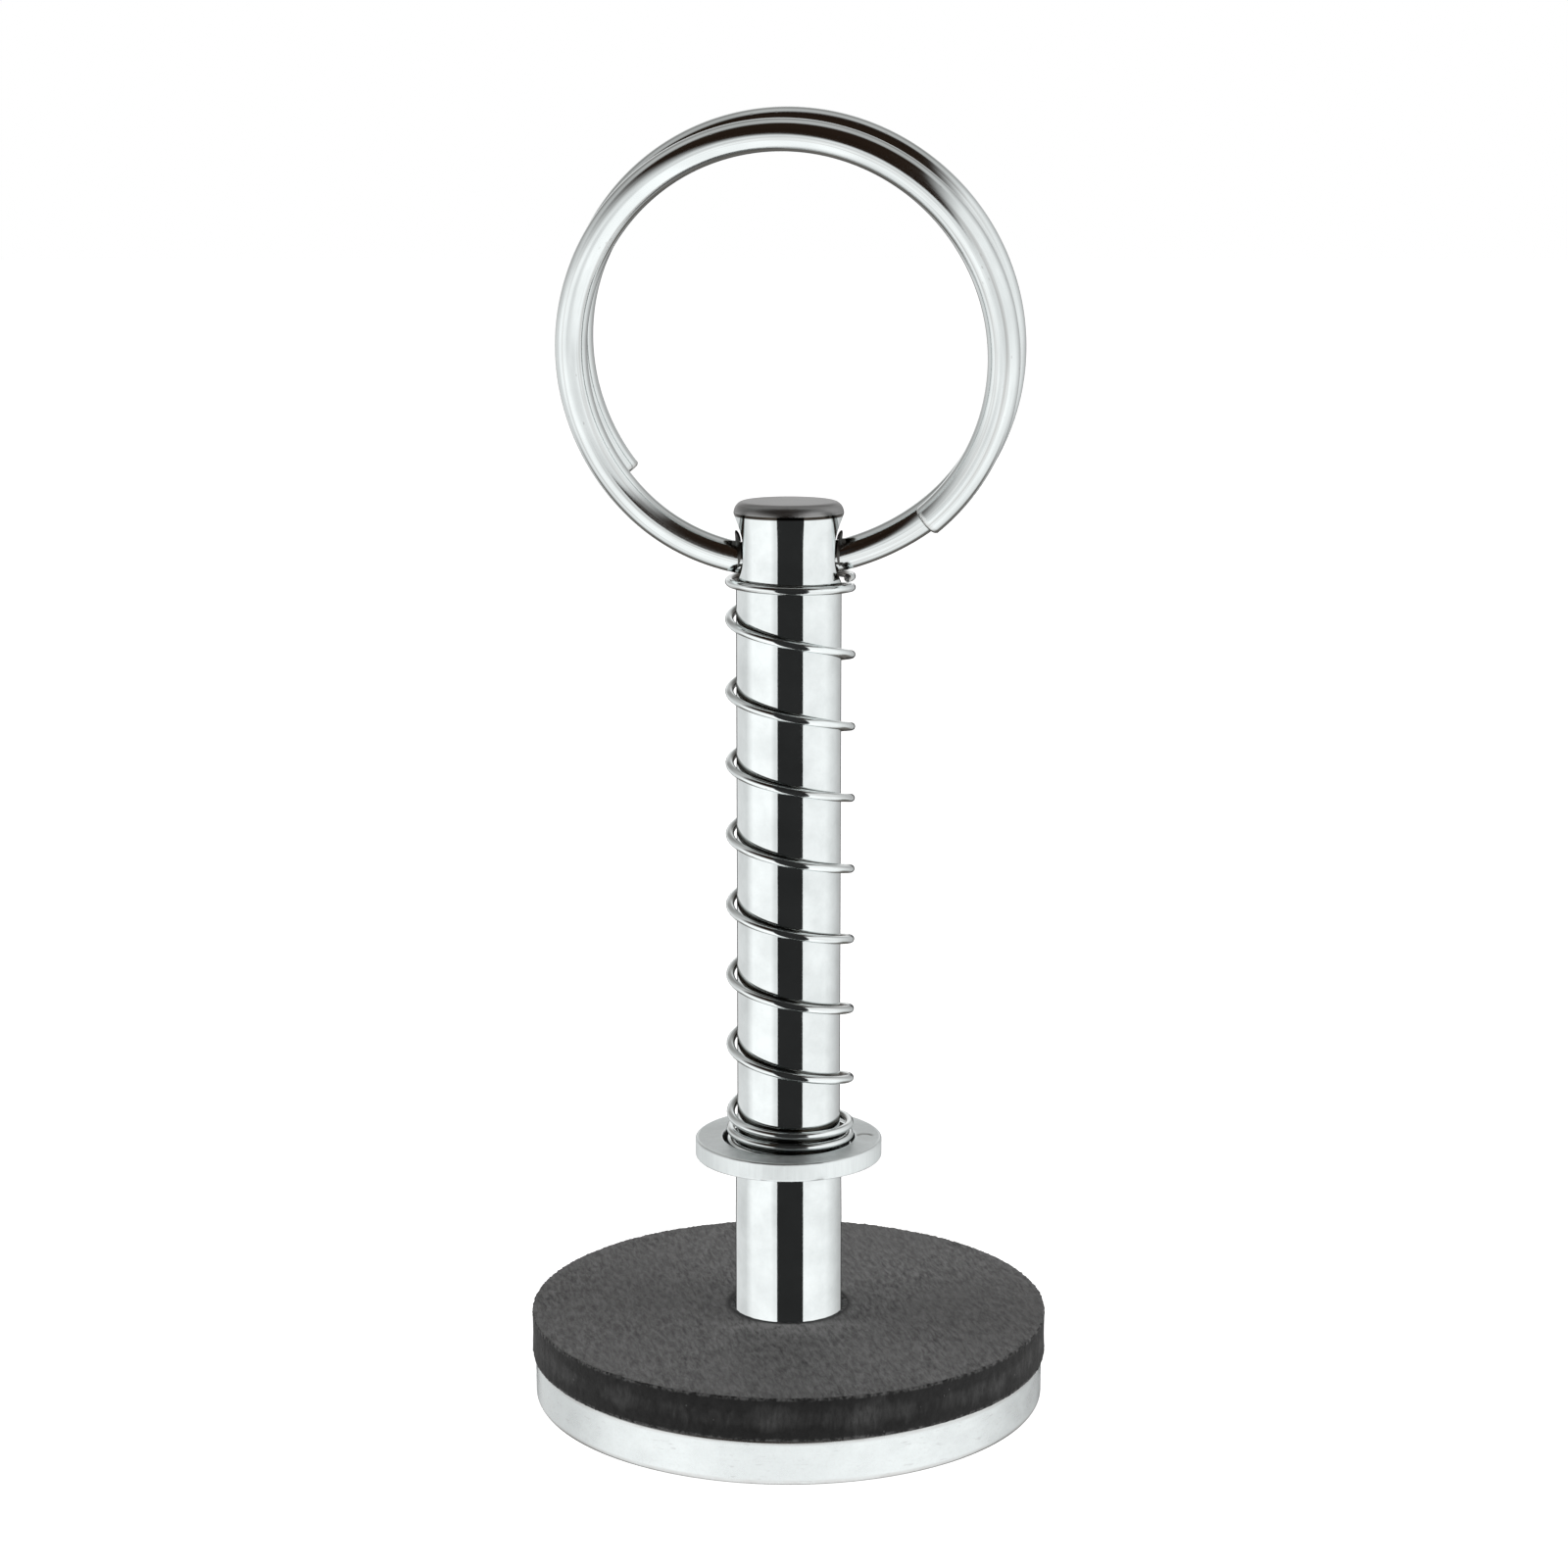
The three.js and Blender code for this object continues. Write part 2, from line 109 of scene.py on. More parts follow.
# Mesh fineness: steps on a fillet, and the distance in millimetres of the points that support an edge
FILLET_STEPS = 8
SUPPORT = 0.22

# How a wire's end is rounded off: (distance from the end, inset, edge), in chamfers
WIRE_END = ((0.0, 1.0, 1.0), (0.45, 0.35, 1.0), (1.0, 0.0, 0.6))
WIRE_HUB_EDGE = 0.5

# Stage, in metres and degrees. The lens and the sensor are in millimetres.
CAMERA_PLACE, CAMERA_TILT = (-0.00045, -0.3, 0.11852), 90 - 10.9
CAMERA_LENS, CAMERA_SENSOR = 73.24, 36.0
FLOOR_HALF, FLOOR_GAP = 4.0, 0.00002
FLAG_LEFT, FLAG_RIGHT, FLAG_BACK_STEP = -0.0029, 0.0038, 0.0002
FLAG_WASHER_GAP, FLAG_HEAD_GAP = 0.00005, 0.0007
LAMP_SIZE, LAMP_AIM = 0.5, (0, 0, 0.05)


def clamp(value, low, high):
    return max(low, min(high, value))


# Mesh helpers


def filleted(corners, closed, step=None):
    """Points (radius, height, edge) along an outline of corners (radius, height, fillet, edge). Edge is 1 on
    a rounded corner unless it says otherwise, and 0 on the faces. step divides the straight stretches."""
    count = len(corners)
    runs = []
    for i, (r, z, fillet, *edge_value) in enumerate(corners):
        here = Vector((r, z))
        edge = edge_value[0] if edge_value else 1.0
        inner = closed or 0 < i < count - 1
        if not fillet or not inner:
            runs.append([(here, 0.0)])
            continue
        before = (Vector(corners[i - 1][:2]) - here).normalized()
        after = (Vector(corners[(i + 1) % count][:2]) - here).normalized()
        reach = fillet / math.tan(before.angle(after) / 2)
        start, stop = here + before * reach, here + after * reach
        centre = here + (before + after).normalized() * math.hypot(fillet, reach)
        turn = (start - centre).angle_signed(stop - centre)
        arc = []
        for k in range(FILLET_STEPS + 1):
            spoke = start - centre
            spoke.rotate(Matrix.Rotation(-turn * k / FILLET_STEPS, 2))
            arc.append((centre + spoke, edge))
        runs.append(arc)
    points = []
    last = count if closed else count - 1
    for i in range(count):
        points += [(p.x, p.y, edge) for p, edge in runs[i]]
        if i == last:
            break
        a, b = runs[i][-1][0], runs[(i + 1) % count][0][0]
        length = (b - a).length
        marks = set()
        if length > 3 * SUPPORT:
            marks |= {SUPPORT, length - SUPPORT}
        if step:
            pieces = int(length // step)
            marks |= {length * k / (pieces + 1) for k in range(1, pieces + 1)}
        for mark in sorted(marks):
            p = a.lerp(b, mark / length)
            points.append((p.x, p.y, 0.0))
    return points


def point_values(piece, name):
    values = [0.0] * len(piece.data.vertices)
    piece.data.attributes[name].data.foreach_get("value", values)
    return values


def set_point_values(piece, name, values):
    attributes = piece.data.attributes
    attribute = attributes.get(name) or attributes.new(name, "FLOAT", "POINT")
    attribute.data.foreach_set("value", values)


def clean_mesh(mesh, weld=0.0):
    """Turns the faces outward and makes them smooth. Points nearer than weld, in metres, become one."""
    bm = bmesh.new()
    bm.from_mesh(mesh)
    if weld:
        bmesh.ops.remove_doubles(bm, verts=bm.verts, dist=weld)
        bmesh.ops.triangulate(bm, faces=[f for f in bm.faces if len(f.verts) > 4])
    bmesh.ops.recalc_face_normals(bm, faces=bm.faces)
    bm.to_mesh(mesh)
    bm.free()
    for polygon in mesh.polygons:
        polygon.use_smooth = True


def new_piece(name, vertices, faces, values, vectors=None):
    """A smooth mesh object from vertices in millimetres. values and vectors hold its point attributes."""
    mesh = bpy.data.meshes.new(name)
    mesh.from_pydata([Vector(v) * MM for v in vertices], [], faces)
    piece = bpy.data.objects.new(name, mesh)
    bpy.context.scene.collection.objects.link(piece)
    for key, numbers in values.items():
        set_point_values(piece, key, numbers)
    for key, triples in (vectors or {}).items():
        flat = [number for triple in triples for number in triple]
        mesh.attributes.new(key, "FLOAT_VECTOR", "POINT").data.foreach_set("vector", flat)
    clean_mesh(mesh)
    return piece


def skin(rings):
    """Faces between neighbouring rings of vertex numbers. A ring of one vertex is the tip of a fan."""
    faces = []
    for lower, upper in zip(rings, rings[1:]):
        count = max(len(lower), len(upper))
        for k in range(count):
            n = (k + 1) % count
            if len(lower) == 1:
                faces.append((lower[0], upper[n], upper[k]))
            elif len(upper) == 1:
                faces.append((lower[k], lower[n], upper[0]))
            else:
                faces.append((lower[k], lower[n], upper[n], upper[k]))
    return faces


def lathe(name, outline, closed, segments, move=None):
    """Turns (radius, height, edge) points round Z. An open outline starts and ends on the axis.
    move(angle, radius, height, edge) gives a point's new (radius, height)."""
    vertices, edges, rings = [], [], []
    for r, z, edge in outline:
        if r < 1e-6:
            rings.append([len(vertices)])
            vertices.append((0, 0, z))
            edges.append(edge)
            continue
        ring = []
        for k in range(segments):
            angle = 2 * math.pi * k / segments
            radius, height = move(angle, r, z, edge) if move else (r, z)
            ring.append(len(vertices))
            vertices.append((radius * math.cos(angle), radius * math.sin(angle), height))
            edges.append(edge)
        rings.append(ring)
    if closed:
        rings.append(rings[0])
    return new_piece(name, vertices, skin(rings), {"edge": edges})


def swept_wire(name, path, diameter, sides, chamfer, extra=None):
    """A round wire along points, with chamfered ends. Its "wire" attribute is (across, across, along) in
    metres, for grain that follows the wire. extra gives more attributes, one value for each path point."""
    path = [Vector(p) for p in path]
    count = len(path)
    tangents = []
    for i in range(count):
        tangents.append((path[min(i + 1, count - 1)] - path[max(i - 1, 0)]).normalized())
    across = tangents[0].orthogonal().normalized()
    vertices, wire, rings = [], [], []
    values = {"edge": [], **{key: [] for key in extra or {}}}
    along = 0.0

    def add_point(place, u, v, edge, index):
        vertices.append(place)
        wire.append((u * MM, v * MM, along * MM))
        values["edge"].append(edge)
        for key in extra or {}:
            values[key].append(extra[key][index])

    def add_ring(centre, side, up, radius, edge, index):
        first = len(vertices)
        for k in range(sides):
            angle = 2 * math.pi * k / sides
            u, v = radius * math.cos(angle), radius * math.sin(angle)
            add_point(centre + side * u + up * v, u, v, edge, index)
        rings.append(list(range(first, len(vertices))))

    def add_hub(index):
        rings.append([len(vertices)])
        add_point(path[index], 0, 0, WIRE_HUB_EDGE, index)

    add_hub(0)
    for i, t in enumerate(tangents):
        across = (across - t * across.dot(t)).normalized()
        up = t.cross(across)
        if i:
            along += (path[i] - path[i - 1]).length
        if i in (0, count - 1):
            inwards = t if i == 0 else -t
            for distance, inset, edge in WIRE_END if i == 0 else reversed(WIRE_END):
                centre = path[i] + inwards * chamfer * distance
                add_ring(centre, across, up, diameter / 2 - chamfer * inset, edge, i)
        elif min((path[i] - path[0]).length, (path[i] - path[-1]).length) >= 1.5 * chamfer:
            add_ring(path[i], across, up, diameter / 2, 0.0, i)
    add_hub(count - 1)
    return new_piece(name, vertices, skin(rings), values, {"wire": wire})


def carve(piece, cutter, sharp_degrees):
    """Takes the cutter out of the piece, applies the result and keeps crisp edges above an angle."""
    boolean = piece.modifiers.new("carve", "BOOLEAN")
    boolean.operation = "DIFFERENCE"
    boolean.solver = "EXACT"
    boolean.object = cutter
    graph = bpy.context.evaluated_depsgraph_get()
    graph.update()
    carved = bpy.data.meshes.new_from_object(piece.evaluated_get(graph), depsgraph=graph)
    piece.modifiers.clear()
    piece.data = carved
    bpy.data.objects.remove(cutter)
    clean_mesh(carved, weld=2e-7)
    carved.set_sharp_from_angle(angle=math.radians(sharp_degrees))
    return piece


# Material helpers


class Nodes:
    """The node tree of a new material or world, built by short calls that return output sockets."""

    def __init__(self, owner):
        owner.use_nodes = True
        self.owner = owner
        self.tree = owner.node_tree
        self.tree.nodes.clear()
        coordinates = self.add("TexCoord")
        self.place = coordinates.outputs["Object"]
        self.direction = coordinates.outputs["Generated"]

    def add(self, kind, values=None, **settings):
        node = self.tree.nodes.new("ShaderNode" + kind)
        for key, value in settings.items():
            setattr(node, key, value)
        for key, value in (values or {}).items():
            if isinstance(value, bpy.types.NodeSocket):
                self.tree.links.new(value, node.inputs[key])
            else:
                node.inputs[key].default_value = value
        return node

    def math(self, operation, a, b=0.0):
        return self.add("Math", {0: a, 1: b}, operation=operation).outputs[0]

    def times(self, a, b):
        return self.math("MULTIPLY", a, b)

    def plus(self, a, b):
        return self.math("ADD", a, b)

    def stretched(self, vector, scale, turn=0.0):
        """The vector turned about Z, and then scaled."""
        if turn:
            vector = self.add("Mapping", {"Vector": vector, "Rotation": (0, 0, turn)}).outputs[0]
        return self.add("Mapping", {"Vector": vector, "Scale": scale}).outputs[0]

    def attribute(self, name, output="Fac"):
        return self.add("Attribute", attribute_name=name).outputs[output]

    def noise(self, vector, scale, detail, roughness, distortion=0.0):
        values = {"Vector": vector, "Scale": scale, "Detail": detail, "Roughness": roughness}
        return self.add("TexNoise", {**values, "Distortion": distortion}).outputs["Fac"]

    def streaks(self, vector, scale, detail, roughness, turn=0.0, distortion=0.0):
        """Noise with its own scale along each axis."""
        return self.noise(self.stretched(vector, scale, turn), 1.0, detail, roughness, distortion)

    def cells(self, vector, scale):
        node = self.add("TexVoronoi", {"Vector": vector, "Scale": scale}, feature="F1")
        return node.outputs["Distance"]

    def span(self, value, low, high, to_low=0.0, to_high=1.0):
        """value from low..high to to_low..to_high, held at the ends."""
        values = {0: value, 1: low, 2: high, 3: to_low, 4: to_high}
        return self.add("MapRange", values, clamp=True).outputs[0]

    def fall(self, value, low, high):
        """1 below low and 0 above high."""
        return self.span(value, low, high, 1.0, 0.0)

    def rise_mm(self, length, low, high):
        """0 below low and 1 above high, in millimetres."""
        return self.span(length, low * MM, high * MM)

    def fall_mm(self, length, low, high):
        """1 below low and 0 above high, in millimetres."""
        return self.fall(length, low * MM, high * MM)

    def mixed(self, factor, a, b):
        node = self.add("Mix", {0: factor, 6: a, 7: b}, data_type="RGBA")
        return node.outputs[2]

    def radius_and_height(self):
        """The distance from the Z axis and the height, in the object's own frame."""
        x, y, z = self.add("SeparateXYZ", {0: self.place}).outputs
        return self.math("SQRT", self.plus(self.times(x, x), self.times(y, y))), z

    def vector(self, x, y, z):
        return self.add("CombineXYZ", {0: x, 1: y, 2: z}).outputs[0]

    def bump(self, height, distance, normal=None):
        values = {"Height": height, "Distance": distance, "Strength": 1.0}
        if normal is not None:
            values["Normal"] = normal
        return self.add("Bump", values).outputs[0]

    def finish(self, colour, roughness, normal, more):
        """Ends a material in a Principled shader. more holds its other values, by socket."""
        values = {"Base Color": colour, "Roughness": roughness, "Normal": normal, **more}
        self.add("OutputMaterial", {0: self.add("BsdfPrincipled", values).outputs[0]})
        return self.owner


def new_material(name):
    return Nodes(bpy.data.materials.new(name))


def turned_lines(n, radius, height, fineness, roughness):
    """Noise in circles about the axis, as a lathe tool leaves it."""
    return n.streaks(n.vector(radius, height, 0.0), (fineness, fineness, 1.0), 4.0, roughness)


def grey(value, warm=0.0):
    return (value * (1 + warm), value, value * (1 - warm), 1.0)


def plated(value):
    """A grey with the faint cyan cast of bright plating."""
    return (value * 0.95, value, value, 1.0)


# Materials. A noise's scale is in cells per metre.

METAL = {"Metallic": 1.0}


def rod_chrome():
    """Polished plating with faint grinding lines, rub marks where the spring and washer slide, a satin
    turned head, and painted shade, near black, on the slot's walls and in a thin line under the head."""
    n = new_material("rod_chrome")
    radius, height = n.radius_and_height()
    edge = n.attribute("edge")
    slot = n.attribute("slot")
    clouds = n.noise(n.place, 260, 4, 0.6)
    lines = n.streaks(n.place, (5200, 5200, 160), 3, 0.6)
    rings = n.streaks(n.place, (60, 60, 7000), 3, 0.6)
    turned = turned_lines(n, radius, height, 6500, 0.65)
    above_shoulder = n.rise_mm(height, ROD_SHOULDER_HEIGHT + 0.5, ROD_SHOULDER_HEIGHT + 4)
    below_slot = n.fall_mm(height, SLOT_BOTTOM - 1.3, SLOT_BOTTOM + 0.7)
    marks = n.times(n.times(above_shoulder, below_slot), n.span(rings, 0.56, 0.72))
    head = n.rise_mm(height, HEAD_ROUND_START + 0.03, HEAD_ROUND_START + 0.23)
    head = n.math("MAXIMUM", head, slot)
    # Painted shade: a thin dark line just under the head's rounding; the rod has no groove there.
    head_line_shade = n.rise_mm(height, HEAD_ROUND_START - 0.23, HEAD_ROUND_START - 0.13)
    head_line_shade = n.times(head_line_shade, n.fall_mm(height, HEAD_ROUND_START + 0.07, HEAD_ROUND_START + 0.21))
    polish = n.mixed(n.span(clouds, 0.34, 0.66), plated(0.79), plated(0.92))
    wear_and_reflection = n.times(edge, n.span(clouds, 0.4, 0.6, 0.2, 0.8))
    colour = n.mixed(wear_and_reflection, polish, grey(0.7, 0.02))
    colour = n.mixed(head, colour, n.mixed(n.span(turned, 0.35, 0.65), grey(0.3, 0.01), grey(0.44)))
    # Painted shade: near-black colour on the slot's walls and on the line under the head.
    painted_shade = n.mixed(n.span(clouds, 0.3, 0.7), grey(0.02, 0.2), grey(0.05, 0.2))
    colour = n.mixed(n.math("MAXIMUM", slot, head_line_shade), colour, painted_shade)
    rough = n.plus(n.span(clouds, 0.3, 0.75, 0.045, 0.085), n.times(marks, 0.05))
    rough = n.plus(rough, n.span(lines, 0.5, 0.8, 0.0, 0.05))
    rough = n.plus(rough, n.times(head, n.span(turned, 0.3, 0.7, 0.26, 0.38)))
    relief = n.plus(n.times(lines, 0.35), n.times(marks, 0.3))
    relief = n.plus(relief, n.times(head, n.times(turned, 4.0)))
    normal = n.bump(clouds, 5e-6, n.bump(relief, 1.1e-6))
    return n.finish(colour, rough, normal, METAL)


def wire_steel(name, bright, dark, roughness, grain):
    """Bright drawn wire: fine draw lines and duller streaks along it, small nicks, dull cut ends, and
    painted shade, near black, where its inside attribute says: the side facing the rod and under closed
    coils."""
    n = new_material(name)
    wire = n.attribute("wire", "Vector")
    edge = n.attribute("edge")
    inside = n.attribute("inside")
    drawn = n.streaks(wire, (9000, 9000, 70), 4, 0.62)
    patches = n.streaks(wire, (420, 420, 130), 3, 0.55)
    streaks = n.streaks(wire, (2100, 2100, 22), 3, 0.6)
    nicks = n.fall(n.cells(n.stretched(wire, (1500, 1500, 700)), 1), 0.06, 0.15)
    nicks = n.times(nicks, n.span(patches, 0.5, 0.6))
    # Painted shade: the wire is painted near black, in patches, where the inside attribute marks it.
    painted_shade = n.times(n.span(inside, 0.25, 0.75), n.span(patches, 0.3, 0.6, 0.8, 1.0))
    colour = n.mixed(n.span(patches, 0.35, 0.7), dark, bright)
    colour = n.mixed(n.span(streaks, 0.52, 0.68, 0.0, 0.55), colour, grey(0.36, 0.03))
    colour = n.mixed(n.times(nicks, 0.5), colour, grey(0.3, 0.06))
    colour = n.mixed(painted_shade, colour, grey(0.05, 0.25))
    colour = n.mixed(n.times(edge, 0.7), colour, grey(0.42, 0.05))
    rough = n.span(drawn, 0.3, 0.75, *roughness)
    rough = n.plus(rough, n.times(edge, 0.18))
    rough = n.plus(rough, n.times(nicks, 0.15))
    normal = n.bump(n.times(nicks, -1.0), 6e-6, n.bump(drawn, grain))
    return n.finish(colour, rough, normal, METAL)


def washer_steel():
    """Stamped and tumbled plated steel: mottled satin faces, vertical shear marks on the rim, bright
    worn edges, near-black painted shade in the hollow where the spring stands and a darker tool mark."""
    n = new_material("washer_steel")
    radius = n.radius_and_height()[0]
    edge = n.attribute("edge")
    dent = n.attribute("dent")
    mottle = n.noise(n.place, 900, 5, 0.65)
    fine = n.noise(n.place, 5200, 3, 0.6)
    patches = n.noise(n.place, 330, 3, 0.5)
    shear = n.streaks(n.place, (2600, 2600, 260), 3, 0.6)
    rim = n.rise_mm(radius, WASHER_RADIUS - 0.05, WASHER_RADIUS - 0.01)
    # Painted shade: the hollow where the spring stands is painted near black.
    recess_shade = n.fall_mm(radius, WASHER_RECESS_RADIUS - 0.03, WASHER_RECESS_RADIUS + 0.09)
    recess_shade = n.times(recess_shade, n.span(mottle, 0.3, 0.6, 0.8, 1.0))
    colour = n.mixed(n.span(mottle, 0.35, 0.68), plated(0.78), plated(0.98))
    colour = n.mixed(n.span(patches, 0.45, 0.75, 0.0, 0.5), colour, plated(0.7))
    colour = n.mixed(recess_shade, colour, grey(0.03, 0.15))
    colour = n.mixed(rim, colour, n.mixed(n.span(shear, 0.3, 0.7), plated(0.9), plated(0.99)))
    colour = n.mixed(n.times(dent, 0.75), colour, grey(0.26, 0.12))
    colour = n.mixed(n.times(edge, n.span(patches, 0.3, 0.6, 0.35, 0.9)), colour, plated(0.9))
    rough = n.plus(n.span(mottle, 0.3, 0.7, 0.4, 0.52), n.times(edge, -0.12))
    normal = n.bump(n.plus(n.times(mottle, 3.0), fine), 7e-6)
    normal = n.bump(n.times(rim, shear), 2e-6, normal)
    return n.finish(colour, rough, normal, {"Metallic": 0.88})


def bumper_rubber():
    """Fine-grained black sheet rubber: a short diagonal nap on its faces, a paler patch in front of the rod
    that is a painted reflection of it, a cut rim painted darker than the faces as painted shade, pale lint
    and scuffed edges, and a painted contact shadow as a dark ring round the rod."""
    n = new_material("bumper_rubber")
    radius = n.radius_and_height()[0]
    forward = n.add("SeparateXYZ", {0: n.place}).outputs[1]
    edge = n.attribute("edge")
    nap = n.streaks(n.place, (2600, 640, 900), 4, 0.68, math.radians(-11), 0.4)
    grain = n.noise(n.place, 3300, 4, 0.7)
    clouds = n.streaks(n.place, (150, 60, 100), 3, 0.5, math.radians(24))
    cut = n.streaks(n.place, (1500, 1500, 700), 3, 0.6)
    lint = n.stretched(n.place, (900, 260, 500), math.radians(-30))
    lint = n.fall(n.cells(lint, 1), 0.03, 0.07)
    scuffed = n.times(edge, n.span(n.noise(n.place, 1800, 3, 0.6), 0.46, 0.6))
    rim = n.rise_mm(radius, BUMPER_RADIUS - 0.13, BUMPER_RADIUS - 0.03)
    # Painted reflection: the rubber is painted paler in a patch in front of the rod, where the rod shines in
    # it.
    in_front = n.fall_mm(forward, -ROD_FOOT_RADIUS - 1, -ROD_FOOT_RADIUS + 0.4)
    wear_and_reflection = n.times(in_front, n.fall_mm(radius, ROD_FOOT_RADIUS + 1.6, ROD_FOOT_RADIUS + 5.3))
    # Painted contact shadow: a near-black ring on the rubber round the rod.
    hole = n.fall_mm(radius, BUMPER_HOLE_RADIUS + 0.6, BUMPER_HOLE_RADIUS + 1.1)
    colour = n.mixed(n.span(nap, 0.32, 0.66), grey(0.02), grey(0.175))
    colour = n.mixed(n.span(grain, 0.5, 0.75, 0.0, 0.5), colour, grey(0.17))
    colour = n.mixed(n.span(clouds, 0.38, 0.7, 0.0, 0.45), colour, grey(0.12))
    colour = n.mixed(n.times(wear_and_reflection, n.span(nap, 0.35, 0.6, 0.2, 0.9)), colour, grey(0.26))
    # Painted shade: the cut rim is painted much darker than the top faces, over its real cut marks.
    colour = n.mixed(rim, colour, n.mixed(n.span(cut, 0.35, 0.7), grey(0.005), grey(0.013)))
    colour = n.mixed(hole, colour, grey(0.002))
    colour = n.mixed(n.times(scuffed, 0.75), colour, grey(0.13))
    colour = n.mixed(n.times(lint, 0.35), colour, grey(0.2))
    rough = n.span(grain, 0.3, 0.7, 0.5, 0.68)
    relief = n.plus(nap, n.times(grain, 0.8))
    normal = n.bump(n.plus(relief, n.times(rim, cut)), 2.6e-5)
    soft = {"Specular IOR Level": 0.25, "Sheen Weight": 0.04, "Sheen Roughness": 0.5}
    return n.finish(colour, rough, normal, soft)


def cup_plating():
    """Bright satin plating over turned steel: fine turning lines, soft clouding, small handling marks
    and rubbed edges."""
    n = new_material("cup_plating")
    radius, height = n.radius_and_height()
    edge = n.attribute("edge")
    turned = turned_lines(n, radius, height, 5200, 0.6)
    clouds = n.streaks(n.place, (380, 380, 520), 4, 0.62)
    grain = n.noise(n.place, 4200, 3, 0.65)
    marks = n.streaks(n.place, (700, 700, 3800), 2, 0.5)
    marks = n.span(marks, 0.66, 0.74)
    colour = n.mixed(n.span(clouds, 0.34, 0.66), plated(0.82), plated(0.93))
    colour = n.mixed(n.span(grain, 0.5, 0.8, 0.0, 0.35), colour, grey(0.7))
    colour = n.mixed(n.times(marks, 0.45), colour, grey(0.6))
    colour = n.mixed(n.times(edge, n.span(clouds, 0.3, 0.65, 0.2, 0.7)), colour, grey(0.55, 0.02))
    rough = n.plus(n.span(clouds, 0.3, 0.7, 0.24, 0.36), n.times(marks, 0.1))
    normal = n.bump(n.plus(turned, n.times(grain, 0.8)), 3.2e-6)
    return n.finish(colour, rough, normal, METAL)


def magnet_nickel():
    """Nickel over sintered magnet: warm grey, faint orange peel, scuffs and tiny pits."""
    n = new_material("magnet_nickel")
    edge = n.attribute("edge")
    peel = n.noise(n.place, 1500, 3, 0.5)
    scuffs = n.streaks(n.place, (240, 4200, 600), 3, 0.6, math.radians(35))
    cross = n.streaks(n.place, (3600, 200, 600), 3, 0.6, math.radians(12))
    scratch = n.math("MAXIMUM", n.span(scuffs, 0.62, 0.72), n.span(cross, 0.64, 0.74))
    pits = n.fall(n.cells(n.place, 1100), 0.05, 0.11)
    colour = n.mixed(n.span(peel, 0.3, 0.7), grey(0.53, 0.05), grey(0.64, 0.04))
    colour = n.mixed(n.times(scratch, 0.5), colour, grey(0.78, 0.02))
    colour = n.mixed(n.times(pits, 0.7), colour, grey(0.2, 0.06))
    colour = n.mixed(n.times(edge, 0.5), colour, grey(0.74, 0.03))
    rough = n.plus(n.span(peel, 0.3, 0.7, 0.2, 0.3), n.times(scratch, 0.12))
    normal = n.bump(peel, 4e-6)
    normal = n.bump(n.math("SUBTRACT", n.times(scratch, 0.3), pits), 4e-6, normal)
    return n.finish(colour, rough, normal, METAL)


def potting_resin():
    """Black casting resin: glossy, with ripples, small bubbles and dust."""
    n = new_material("potting_resin")
    ripple = n.noise(n.place, 520, 2, 0.5)
    dust = n.noise(n.place, 3800, 4, 0.7)
    bubbles = n.fall(n.cells(n.place, 1300), 0.08, 0.16)
    colour = n.mixed(n.span(ripple, 0.3, 0.7), grey(0.012), grey(0.026, 0.04))
    colour = n.mixed(n.span(dust, 0.55, 0.8, 0.0, 0.6), colour, grey(0.09, 0.06))
    rough = n.plus(n.span(ripple, 0.3, 0.7, 0.14, 0.26), n.span(dust, 0.5, 0.8, 0.0, 0.3))
    normal = n.bump(n.math("SUBTRACT", ripple, n.times(bubbles, 0.4)), 3e-5)
    return n.finish(colour, rough, normal, {"Coat Weight": 0.25})


def turned_steel(name, light, dark, tint):
    """Turned and plated small steel piece: concentric tool lines, oily clouding and rubbed edges."""
    n = new_material(name)
    radius, height = n.radius_and_height()
    edge = n.attribute("edge")
    turned = turned_lines(n, radius, height, 7600, 0.65)
    clouds = n.noise(n.place, 700, 4, 0.6)
    colour = n.mixed(n.span(clouds, 0.3, 0.7), grey(dark, tint), grey(light, tint))
    colour = n.mixed(n.span(turned, 0.45, 0.8, 0.0, 0.4), colour, grey(dark * 0.7, tint))
    colour = n.mixed(n.times(edge, 0.6), colour, grey(light * 1.25, tint * 0.5))
    rough = n.span(turned, 0.3, 0.75, 0.22, 0.4)
    return n.finish(colour, rough, n.bump(n.plus(turned, clouds), 4e-6), METAL)


# Pieces


def magnet_cup():
    pocket = CUP_POCKET_RADIUS
    corners = [
        (pocket, 0, 0.12),
        (CUP_RADIUS, 0, 0.38),
        (CUP_RADIUS, CUP_HEIGHT, 0.3),
        (SCREW_CLEARANCE_RADIUS, CUP_HEIGHT, 0.1),
        (SCREW_CLEARANCE_RADIUS, CUP_POCKET_DEPTH, 0.1),
        (pocket, CUP_POCKET_DEPTH, 0.2),
    ]
    return lathe("magnet_cup_body", filleted(corners, closed=True), closed=True, segments=320)


def ring_magnet():
    top = CUP_POCKET_DEPTH - POTTING_GAP
    corners = [
        (MAGNET_INNER_RADIUS, MAGNET_RECESS, 0.3),
        (MAGNET_OUTER_RADIUS, MAGNET_RECESS, 0.3),
        (MAGNET_OUTER_RADIUS, top, 0.3),
        (MAGNET_INNER_RADIUS, top, 0.3),
    ]
    return lathe("ring_magnet_body", filleted(corners, closed=True), closed=True, segments=256)


